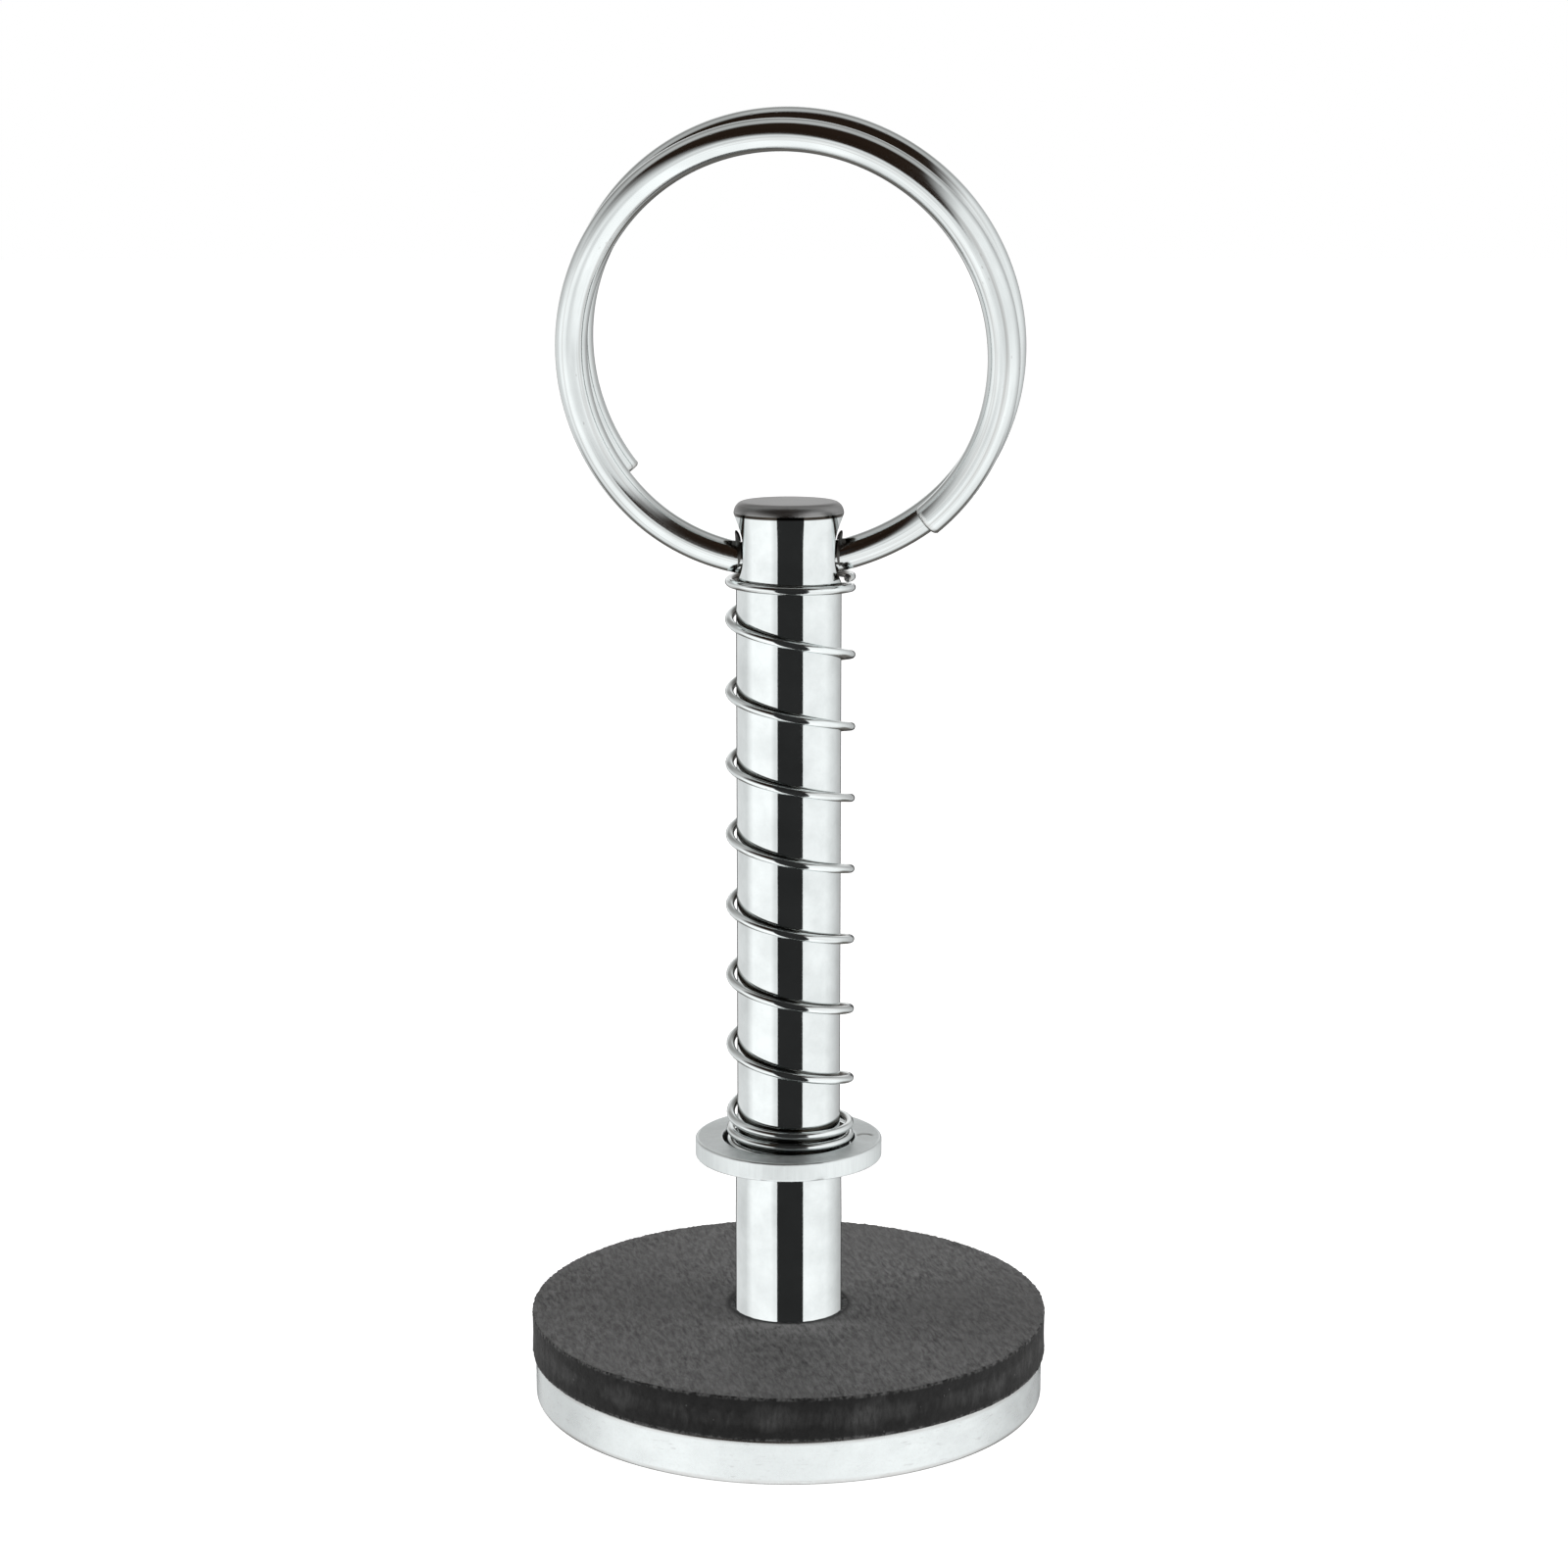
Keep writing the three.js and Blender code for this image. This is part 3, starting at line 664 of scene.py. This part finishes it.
def potting_ring(name, inner_radius, outer_radius):
    """Resin poured between two walls: its open face climbs them in a meniscus and is slightly uneven."""
    inner, outer = inner_radius + POTTING_GAP, outer_radius - POTTING_GAP
    top = CUP_POCKET_DEPTH - POTTING_GAP
    steps = 14
    outline = [(outer, top, 0.0), (inner, top, 0.0)]
    for k in range(steps + 1):
        t = k / steps
        climb = abs(2 * t - 1) ** 3
        outline.append((inner + (outer - inner) * t, RESIN_RECESS + 0.04 - 0.13 * climb, 0.0))

    def uneven(angle, r, z, edge):
        if z > 1:
            return r, z
        wander = noise.noise(Vector((math.cos(angle), math.sin(angle), 0)) * r * 0.7)
        return r, z + 0.035 * wander

    return lathe(name, outline, closed=True, segments=256, move=uneven)


def pole_bush():
    mouth = SCREW_HEAD_RADIUS + SCREW_SEAT_GAP
    cone_bottom = SCREW_HEAD_RECESS + SCREW_HEAD_LAND
    cone_top = cone_bottom + mouth - SCREW_CLEARANCE_RADIUS
    corners = [
        (mouth, 0, 0.12),
        (BUSH_RADIUS, 0, 0.15),
        (BUSH_RADIUS, cone_top, 0.1),
        (SCREW_CLEARANCE_RADIUS, cone_top, 0.05),
        (mouth, cone_bottom, 0.05),
    ]
    return lathe("pole_bush_body", filleted(corners, closed=True), closed=True, segments=192)


def socket_cutter():
    """A hexagonal prism with a chamfered mouth below and a drilled point above."""
    corner = SOCKET_ACROSS_FLATS / math.sqrt(3)
    mouth = corner * 1.12
    outline = [
        (0, SCREW_HEAD_RECESS - 0.2, 0.0),
        (mouth, SCREW_HEAD_RECESS - 0.2, 0.0),
        (mouth, SCREW_HEAD_RECESS - 0.01, 0.0),
        (corner, SCREW_HEAD_RECESS + 0.14, 0.0),
        (corner, SCREW_HEAD_RECESS + SOCKET_DEPTH, 0.0),
        (0, SCREW_HEAD_RECESS + SOCKET_DEPTH + 0.5, 0.0),
    ]
    return lathe("socket_cutter", outline, closed=False, segments=6)


def retaining_screw():
    """Countersunk M5 screw with a hexagon socket and a rolled thread."""
    cone_bottom = SCREW_HEAD_RECESS + SCREW_HEAD_LAND
    cone_top = cone_bottom + SCREW_HEAD_RADIUS - SCREW_RADIUS
    rows_per_pitch = 8
    thread_start, thread_end = cone_top + 0.5, SCREW_TIP_HEIGHT - 0.1
    corners = [
        (0, SCREW_HEAD_RECESS, 0),
        (SCREW_HEAD_RADIUS, SCREW_HEAD_RECESS, 0.12),
        (SCREW_HEAD_RADIUS, cone_bottom, 0.06),
        (SCREW_RADIUS, cone_top, 0.2),
        (SCREW_RADIUS, thread_start, 0),
    ]
    outline = filleted(corners, closed=False)
    rows = int((thread_end - thread_start) / THREAD_PITCH * rows_per_pitch)
    for k in range(1, rows + 1):
        outline.append((SCREW_RADIUS, thread_start + (thread_end - thread_start) * k / rows, 0.0))
    outline += [(SCREW_RADIUS - 0.6, SCREW_TIP_HEIGHT, 0.0), (0, SCREW_TIP_HEIGHT, 0.0)]

    def threaded(angle, r, z, edge):
        if r < SCREW_RADIUS - 0.01:
            return r, z
        run_in = clamp((z - thread_start) / 0.6, 0, 1)
        run_out = clamp((thread_end - z) / 0.3 + 0.6, 0, 1)
        phase = (z / THREAD_PITCH - angle / (2 * math.pi)) % 1
        groove = clamp(abs(2 * phase - 1) * 1.25 - 0.125, 0, 1)
        return r - THREAD_DEPTH * groove * run_in * run_out, z

    screw = lathe("retaining_screw_body", outline, closed=False, segments=72, move=threaded)
    return carve(screw, socket_cutter(), sharp_degrees=28)


def bumper_disc():
    """Die-cut sheet rubber: slightly ragged edges, a rim that draws in a little at its middle, and a
    hole pressed down round the rod."""
    bottom, top = CUP_HEIGHT, CUP_HEIGHT + BUMPER_THICKNESS
    corners = [
        (BUMPER_HOLE_RADIUS, bottom, 0.1),
        (BUMPER_RADIUS, bottom, 0.16),
        (BUMPER_RADIUS, top, 0.17),
        (BUMPER_HOLE_RADIUS, top, 0.35),
    ]

    def ragged(angle, r, z, edge):
        spot = Vector((math.cos(angle), math.sin(angle), 0)) * r
        low = noise.noise(spot * 0.35 + Vector((0, 0, z * 0.2)))
        mid = noise.noise(spot * 1.7 + Vector((5, 0, z * 0.8)))
        fine = noise.noise(spot * 5.5 + Vector((9, 3, z * 2.5)))
        middle = 1 - abs((z - bottom) / BUMPER_THICKNESS * 2 - 1)
        if r > BUMPER_RADIUS - 0.5:
            torn = 0.02 * mid + 0.014 * fine + 0.11 * edge * (fine - 0.25)
            return r - 0.06 * middle + 0.03 * low + torn, z + edge * (0.04 * mid + 0.03 * fine)
        if r < BUMPER_HOLE_RADIUS + 0.5:
            return r, z - (0.03 + 0.03 * edge * mid if z > top - 0.5 else 0)
        return r, z + (0.012 * low if z > top - 0.5 else 0)

    outline = filleted(corners, closed=True, step=0.9)
    return lathe("rubber_bumper", outline, closed=True, segments=900, move=ragged)


def head_splay(z):
    """How far the slotted head has spread beyond the rod's radius, in millimetres."""
    rise = clamp((z - HEAD_SPLAY_START) / (HEAD_ROUND_START - HEAD_SPLAY_START), 0, 1)
    return HEAD_SPLAY * rise * rise * (3 - 2 * rise)


def slot_outline():
    """The slot's stadium. Each point is (sideways, upwards, centre height): a direction in half widths,
    and the height in millimetres that it starts from."""
    arc_steps, straight_steps = 28, 12
    low, high = SLOT_BOTTOM + SLOT_WIDTH / 2, SLOT_TOP - SLOT_WIDTH / 2
    angles = [math.pi * k / arc_steps for k in range(arc_steps + 1)]
    straight = [(high - low) * k / straight_steps for k in range(1, straight_steps)]
    outline = [(math.cos(a), math.sin(a), high) for a in angles]
    outline += [(-1.0, 0.0, high - drop) for drop in straight]
    outline += [(-math.cos(a), -math.sin(a), low) for a in angles]
    outline += [(1.0, 0.0, low + climb) for climb in straight]
    return outline


def slot_layers():
    """(distance from the rod's axis, widening) for each layer of the slot's rounded mouth, from the
    inside out. The last layer lies outside the rod."""
    steps, flare = 7, math.radians(72)
    layers = []
    for k in range(steps + 1):
        a = flare * k / steps
        layers.append((ROD_RADIUS - SLOT_FILLET * (1 - math.sin(a)), SLOT_FILLET * (1 - math.cos(a))))
    outside = ROD_RADIUS + 0.4
    reach, widening = layers[-1]
    layers.append((outside, widening + (outside - reach) * math.tan(flare) * 0.5))
    return layers


def slot_cutter():
    """The slot's outline pushed along X, flaring where it leaves the rod to round the cut edge."""
    outline, layers = slot_outline(), slot_layers()
    inner = ROD_RADIUS - SLOT_FILLET - 0.6
    stations = [(reach, widening, -1) for reach, widening in reversed(layers)]
    stations += [(inner, 0.0, -1), (0.0, 0.0, 0), (inner, 0.0, 1)]
    stations += [(reach, widening, 1) for reach, widening in layers]
    vertices, rings = [], []
    for reach, widening, side in stations:
        rings.append(list(range(len(vertices), len(vertices) + len(outline))))
        half = SLOT_WIDTH / 2 + widening
        for sideways, upwards, centre_height in outline:
            y, z = sideways * half, centre_height + upwards * half
            x = side * math.sqrt(max((reach + head_splay(z)) ** 2 - y * y, 0.0))
            vertices.append((x, y, z))
    for ring in (rings[0], rings[-1]):
        middle = sum((Vector(vertices[index]) for index in ring), Vector()) / len(ring)
        vertices.append(middle)
    rings = [[len(vertices) - 2]] + rings + [[len(vertices) - 1]]
    return new_piece("slot_cutter", vertices, skin(rings), {})


def slot_clearance(y, z):
    """How far a point lies outside the slot, in millimetres. It is negative inside."""
    half = SLOT_WIDTH / 2
    return math.hypot(y, z - clamp(z, SLOT_BOTTOM + half, SLOT_TOP - half)) - half


def plunger_rod():
    foot, head_bottom = CUP_HEIGHT, SLOT_BOTTOM - 0.8
    corners = [
        (0, foot + TAPPED_DEPTH + DRILL_POINT, 0),
        (TAPPED_RADIUS, foot + TAPPED_DEPTH, 0.05),
        (TAPPED_RADIUS, foot, 0.2),
        (ROD_FOOT_RADIUS, foot, 0.25),
        (ROD_FOOT_RADIUS, ROD_FOOT_TOP, FOOT_BLEND_RADIUS, 0.0),
        (ROD_SHOULDER_RADIUS, ROD_SHOULDER_HEIGHT, 0.05),
        (ROD_RADIUS, ROD_SHOULDER_HEIGHT, 0.02),
        (ROD_RADIUS, head_bottom, 0),
    ]
    outline = filleted(corners, closed=False)
    rows, round_steps = 40, 14
    for k in range(1, rows):
        z = head_bottom + (HEAD_ROUND_START - head_bottom) * k / rows
        outline.append((ROD_RADIUS + head_splay(z), z, 0.0))
    for k in range(round_steps + 1):
        a = math.pi / 2 * k / round_steps
        r = HEAD_FLAT_RADIUS + (ROD_RADIUS + HEAD_SPLAY - HEAD_FLAT_RADIUS) * math.cos(a)
        z = HEAD_ROUND_START + (ROD_TOP - HEAD_ROUND_START) * math.sin(a)
        outline.append((r, z, 0.35))
    outline += [(r, ROD_TOP, 0.0) for r in (4.0, 2.5, 1.0, 0)]
    rod = lathe("plunger_rod_body", outline, closed=False, segments=256)
    carve(rod, slot_cutter(), sharp_degrees=14)
    # The slot values mark the slot's walls, which the rod's material paints with near-black shade.
    walls = []
    for vertex in rod.data.vertices:
        outside = slot_clearance(vertex.co.y / MM, vertex.co.z / MM)
        walls.append(1.0 if outside < 0.7 * SLOT_FILLET else 0.0)
    set_point_values(rod, "slot", walls)
    return rod


def washer():
    """Stamped washer: one face edge more rounded than the other, faint waviness, and a small arc-shaped
    tool mark on its top face."""
    bottom, top = WASHER_BOTTOM, WASHER_BOTTOM + WASHER_THICKNESS
    corners = [
        (WASHER_BORE_RADIUS, bottom, 0.2),
        (WASHER_RADIUS, bottom, 0.16),
        (WASHER_RADIUS, top, 0.24),
        (WASHER_RECESS_RADIUS, top, 0.12),
        (WASHER_RECESS_RADIUS, top - WASHER_RECESS_DEPTH, 0.12),
        (WASHER_BORE_RADIUS, top - WASHER_RECESS_DEPTH, 0.08),
    ]
    centre = Vector((DENT_RADIUS * math.cos(DENT_ANGLE), DENT_RADIUS * math.sin(DENT_ANGLE), 0))

    def dented(angle, r, z, edge):
        spot = Vector((math.cos(angle), math.sin(angle), 0)) * r
        if r > WASHER_RADIUS - 0.02:
            return r + 0.012 * noise.noise(spot * 1.3), z
        if z < top - 0.01:
            return r, z
        return r, z + 0.008 * noise.noise(spot * 0.9) - DENT_DEPTH * dent_depth(spot - centre)

    outline = filleted(corners, closed=True, step=0.09)
    piece = lathe("seat_washer_body", outline, closed=True, segments=420, move=dented)
    values = []
    for vertex in piece.data.vertices:
        spot = Vector((vertex.co.x, vertex.co.y, 0)) / MM
        on_top = vertex.co.z > (top - 0.5) * MM
        values.append(dent_depth(spot - centre) if on_top else 0.0)
    set_point_values(piece, "dent", values)
    return piece


def dent_depth(offset):
    """1 in the middle of the tool mark's line: an arc open to the front."""
    bend = offset + Vector((0, 0.55, 0))
    from_arc = abs(bend.length - DENT_SIZE)
    heading = math.atan2(bend.x, bend.y)
    fade = clamp(1.6 - abs(heading) / math.radians(62), 0, 1)
    return math.exp(-((from_arc / 0.13) ** 2)) * fade


def open_drop(turns):
    """How far the wire has dropped after some turns of the open stretch, with an ease at each end."""
    ease = SPRING_EASE_TURNS
    from_top = max(ease - turns, 0)
    past_ease = max(ease - (SPRING_OPEN_TURNS - turns), 0)
    top_loss = (SPRING_ACTIVE_PITCH - SPRING_TOP_PITCH) * (ease**2 - from_top**2)
    bottom_loss = (SPRING_ACTIVE_PITCH - SPRING_BOTTOM_PITCH) * past_ease**2
    return SPRING_ACTIVE_PITCH * turns - (top_loss + bottom_loss) / (2 * ease)


def steep_turns(turns):
    """How many full-pitch turns lie above this point of the open stretch."""
    ease = SPRING_EASE_TURNS
    from_end = SPRING_OPEN_TURNS - turns
    if turns < ease:
        return turns * turns / (2 * ease)
    if from_end < ease:
        return SPRING_OPEN_TURNS - ease - from_end * from_end / (2 * ease)
    return turns - ease / 2


def compression_spring():
    steps_per_turn = 56
    count = int(SPRING_TURNS * steps_per_turn)
    path, shares = [], []
    for k in range(count + 1):
        turns = SPRING_TURNS * k / count
        angle = math.radians(SPRING_TOP_ANGLE + 360 * turns)
        above = min(turns, SPRING_TOP_CLOSED_TURNS)
        opened = clamp(turns - SPRING_TOP_CLOSED_TURNS, 0, SPRING_OPEN_TURNS)
        below = turns - above - opened
        drop = SPRING_TOP_PITCH * above + SPRING_BOTTOM_PITCH * below + open_drop(opened)
        x = SPRING_OFFSET + SPRING_MEAN_RADIUS * math.cos(angle)
        path.append((x, SPRING_MEAN_RADIUS * math.sin(angle), SPRING_TOP_HEIGHT - drop))
        shares.append(steep_turns(opened) / (SPRING_OPEN_TURNS - SPRING_EASE_TURNS))
    spring = swept_wire("spring_wire", path, SPRING_WIRE, sides=20, chamfer=0.1, extra={"share": shares})
    # The inside values mark where the wire gets painted shade: the side that faces the rod, and the
    # undersides of the closed bottom coils.
    inside = []
    for vertex, share in zip(spring.data.vertices, point_values(spring, "share")):
        from_axis = math.hypot(vertex.co.x / MM - SPRING_OFFSET, vertex.co.y / MM)
        inner = (SPRING_MEAN_RADIUS - from_axis) / (SPRING_WIRE / 2)
        under = -1.4 * vertex.normal.z - 0.25 if share > 0.999 else 0.0
        inside.append(clamp(max(inner, under), 0.0, 1.0))
    set_point_values(spring, "inside", inside)
    return spring


def split_ring():
    """One wire in two layers that changes layer where it passes through the slot."""
    count = 760
    turn, lean = math.radians(RING_TURN), Matrix.Rotation(math.radians(RING_LEAN), 3, "X")
    flattening = RING_MEAN_RADIUS - ((RING_FRONT_CENTRE + RING_BACK_CENTRE) / 2 - RING_SLOT_HEIGHT)
    path = []
    for k in range(count + 1):
        degrees = RING_START_ANGLE + (RING_END_ANGLE - RING_START_ANGLE) * k / count
        from_crossing = RING_CROSSING_ANGLE - degrees
        layer = math.sin(clamp(from_crossing / RING_CROSSING_SPREAD, -1, 1) * math.pi / 2)
        centre = RING_FRONT_CENTRE + (RING_BACK_CENTRE - RING_FRONT_CENTRE) * (layer + 1) / 2
        near_slot = math.cos(clamp(from_crossing / RING_FLATTENED_SPREAD, -1, 1) * math.pi / 2) ** 2
        before_slot = -from_crossing / (RING_START_ANGLE - RING_CROSSING_ANGLE)
        radius = RING_MEAN_RADIUS - flattening * near_slot
        radius -= RING_START_TIGHTENING * clamp(before_slot, 0, 1)
        sideways = radius * math.sin(math.radians(degrees))
        depth = RING_LAYER_OFFSET * layer
        point = lean @ Vector((
            sideways * math.cos(turn) + depth * math.sin(turn),
            -sideways * math.sin(turn) + depth * math.cos(turn),
            centre + radius * math.cos(math.radians(degrees)) - RING_PIVOT_HEIGHT,
        ))
        path.append(point + Vector((0, 0, RING_PIVOT_HEIGHT)))
    return swept_wire("split_ring_wire", path, RING_WIRE, sides=36, chamfer=0.22)


def place(piece, body, node, slot, material):
    """Gives the piece its material and its CAD body, and hides the CAD node it stands for. The slot argument
    is not used.
    """
    piece.data.materials.clear()
    piece.data.materials.append(material)
    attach(piece, body)
    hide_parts(node)


def place_spring(material):
    """The spring rides between two bodies: each point moves with the washer by its own share."""
    spring = compression_spring()
    spring.data.materials.append(material)
    top = (0, 0, SPRING_TOP_HEIGHT * MM)
    bottom = (0, 0, SPRING_FOOT_HEIGHT * MM)
    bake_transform(spring, "plunger", "spring_seat", start=top, end=bottom)
    set_point_values(spring, "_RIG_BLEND", point_values(spring, "share"))
    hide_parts("compression_spring")


def build_object():
    ring_wire = wire_steel("ring_steel", plated(0.9), plated(0.77), roughness=(0.07, 0.18), grain=1.6e-6)
    spring_wire = wire_steel("spring_steel", plated(0.98), plated(0.88), roughness=(0.1, 0.2), grain=1.2e-6)
    place(split_ring(), "pull_ring", "split_ring", "ring_steel", ring_wire)
    place(plunger_rod(), "plunger", "plunger_rod", "rod_chrome", rod_chrome())
    place_spring(spring_wire)
    place(washer(), "spring_seat", "seat_washer", "washer_steel", washer_steel())
    resin = potting_resin()
    outer = potting_ring("outer_potting_body", MAGNET_OUTER_RADIUS, CUP_POCKET_RADIUS)
    inner = potting_ring("inner_potting_body", BUSH_RADIUS, MAGNET_INNER_RADIUS)
    bush = turned_steel("bush_steel", light=0.62, dark=0.46, tint=0.03)
    screw = turned_steel("screw_steel", light=0.5, dark=0.34, tint=0.05)
    foot_pieces = (
        (bumper_disc(), "rubber_bumper_disc", "bumper_rubber", bumper_rubber()),
        (magnet_cup(), "magnet_cup", "cup_plating", cup_plating()),
        (ring_magnet(), "ring_magnet", "magnet_nickel", magnet_nickel()),
        (outer, "outer_potting", "potting_resin", resin),
        (inner, "inner_potting", "potting_resin", resin),
        (pole_bush(), "pole_bush", "bush_steel", bush),
        (retaining_screw(), "retaining_screw", "screw_steel", screw),
    )
    for piece, node, slot, material in foot_pieces:
        place(piece, "plunger", node, slot, material)
        piece.visible_glossy = False


# Stage


def make_camera():
    data = bpy.data.cameras.new("camera")
    data.lens, data.sensor_width = CAMERA_LENS, CAMERA_SENSOR
    data.clip_start, data.clip_end = 0.01, 50.0
    camera = bpy.data.objects.new("camera", data)
    camera.location = CAMERA_PLACE
    camera.rotation_euler = (math.radians(CAMERA_TILT), 0, 0)
    bpy.context.scene.collection.objects.link(camera)
    bpy.context.scene.camera = camera


def stage_plane(name, corners, material):
    mesh = bpy.data.meshes.new(name)
    mesh.from_pydata(corners, [], [tuple(range(len(corners)))])
    mesh.materials.append(material)
    plane = bpy.data.objects.new(name, mesh)
    bpy.context.scene.collection.objects.link(plane)
    return plane


def one_sided(n, surface, hide_front):
    """Ends a material that shows the surface on one side and is clear on the other."""
    clear = n.add("BsdfTransparent").outputs[0]
    hidden = n.add("NewGeometry").outputs["Backfacing"]
    if hide_front:
        hidden = n.math("SUBTRACT", 1.0, hidden)
    shown = n.add("MixShader", {0: hidden, 1: surface, 2: clear}).outputs[0]
    n.add("OutputMaterial", {0: shown})


def make_floor():
    """Plain white floor. It gives a little light of its own and lets a view from below through."""
    n = new_material("floor")
    white = n.add("BsdfDiffuse", {"Color": grey(0.8)}).outputs[0]
    glow = n.add("Emission", {"Color": grey(1.0), "Strength": 0.8}).outputs[0]
    one_sided(n, n.add("AddShader", {0: white, 1: glow}).outputs[0], False)
    half = FLOOR_HALF
    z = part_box("magnet_cup")[0].z - FLOOR_GAP
    corners = [(-half, -half, z), (half, -half, z), (half, half, z), (-half, half, z)]
    floor = stage_plane("floor", corners, n.owner)
    floor.visible_glossy = False
    floor.visible_diffuse = False


def make_flags():
    """Small black cards close in front of the rod, seen only in reflections. They give its polished side
    the dark stripe, and leave a gap in front of the washer."""
    n = new_material("flag")
    one_sided(n, n.add("Emission", {"Color": grey(0.024), "Strength": 1.0}).outputs[0], True)
    washer_low, washer_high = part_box("seat_washer")
    rod_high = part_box("plunger_rod")[1]
    left, right, y = FLAG_LEFT, FLAG_RIGHT, washer_low.y + FLAG_BACK_STEP
    spans = ((0.0, washer_low.z - FLAG_WASHER_GAP), (washer_high.z, rod_high.z - FLAG_HEAD_GAP))
    for index, (low, high) in enumerate(spans):
        corners = [(left, y, low), (right, y, low), (right, y, high), (left, y, high)]
        flag = stage_plane(f"flag_{index}", corners, n.owner)
        flag.visible_camera = False
        flag.visible_diffuse = False
        flag.visible_shadow = False


def make_world():
    """A white tent of light, bright at the front and sides and greyer behind, with a dark strip at the
    back that the rod's rear mirrors. A darker opening runs from the front horizon up and over the top,
    and brightens again low at the back. The camera itself sees plain white."""
    n = Nodes(bpy.data.worlds.new("studio"))
    bpy.context.scene.world = n.owner
    x, y, z = n.add("SeparateXYZ", {0: n.direction}).outputs
    from_front = n.math("ARCTAN2", n.math("ABSOLUTE", x), n.times(y, -1.0))
    side = n.span(from_front, math.radians(30), math.radians(40))
    low = n.fall(z, -0.4, -0.3)
    back_left = n.times(n.fall(x, -0.05, 0.05), n.span(from_front, 1.5, 1.85))
    back_right = n.times(n.span(x, -0.05, 0.05), n.span(from_front, 1.55, 2.5))
    low_front = n.times(low, n.fall(from_front, 0.9, 1.3))
    rear_strip = n.times(n.span(from_front, 2.74, 2.8), n.fall(z, 0.0, 0.12))
    under_back = n.times(n.span(y, 0.2, 0.42), n.fall(z, -0.55, -0.4))
    tent = (
        (side, grey(1.12)),
        (n.span(x, 0.3, 0.6), grey(1.02)),
        (n.times(low, side), grey(1.0)),
        (back_left, grey(0.76)),
        (back_right, grey(0.52)),
        (low_front, grey(1.16)),
        (rear_strip, grey(0.05)),
        (under_back, grey(0.14, 0.08)),
    )
    around = grey(0.86)
    for where, colour in tent:
        around = n.mixed(where, around, colour)
    bearing = n.math("ARCTAN2", x, n.plus(z, 0.12))
    open_left = n.span(bearing, math.radians(-86), math.radians(-50))
    open_right = n.fall(bearing, math.radians(32), math.radians(48))
    overhead = (0.02, 0.012, 0.008, 1.0)
    bands = (
        (-0.12, 0.06, grey(0.5, 0.01)),
        (0.35, 0.6, grey(0.3, 0.02)),
        (0.79, 0.93, grey(0.88)),
    )
    for start, end, colour in bands:
        overhead = n.mixed(n.span(y, start, end), overhead, colour)
    colour = n.mixed(n.times(open_left, open_right), around, overhead)
    colour = n.mixed(n.add("LightPath").outputs["Is Camera Ray"], colour, grey(1.0))
    light = n.add("Background", {"Color": colour, "Strength": 1.0}).outputs[0]
    n.add("OutputWorld", {0: light})


def make_light(name, power, location):
    """A square softbox aimed at the object, seen neither by the camera nor in reflections."""
    data = bpy.data.lights.new(name, "AREA")
    data.shape = "SQUARE"
    data.size = LAMP_SIZE
    data.energy = power
    lamp = bpy.data.objects.new(name, data)
    lamp.location = location
    lamp.rotation_mode = "QUATERNION"
    lamp.rotation_quaternion = (Vector(LAMP_AIM) - Vector(location)).to_track_quat("-Z", "Y")
    bpy.context.scene.collection.objects.link(lamp)
    lamp.visible_camera = False
    lamp.visible_glossy = False


make_camera()
make_world()
make_floor()
make_flags()
make_light("softbox_left", 2.4, (-0.7, 0.1, 0.55))
make_light("softbox_right", 1.8, (0.7, -0.1, 0.5))
build_object()
bpy.context.scene.view_settings.view_transform = "Standard"
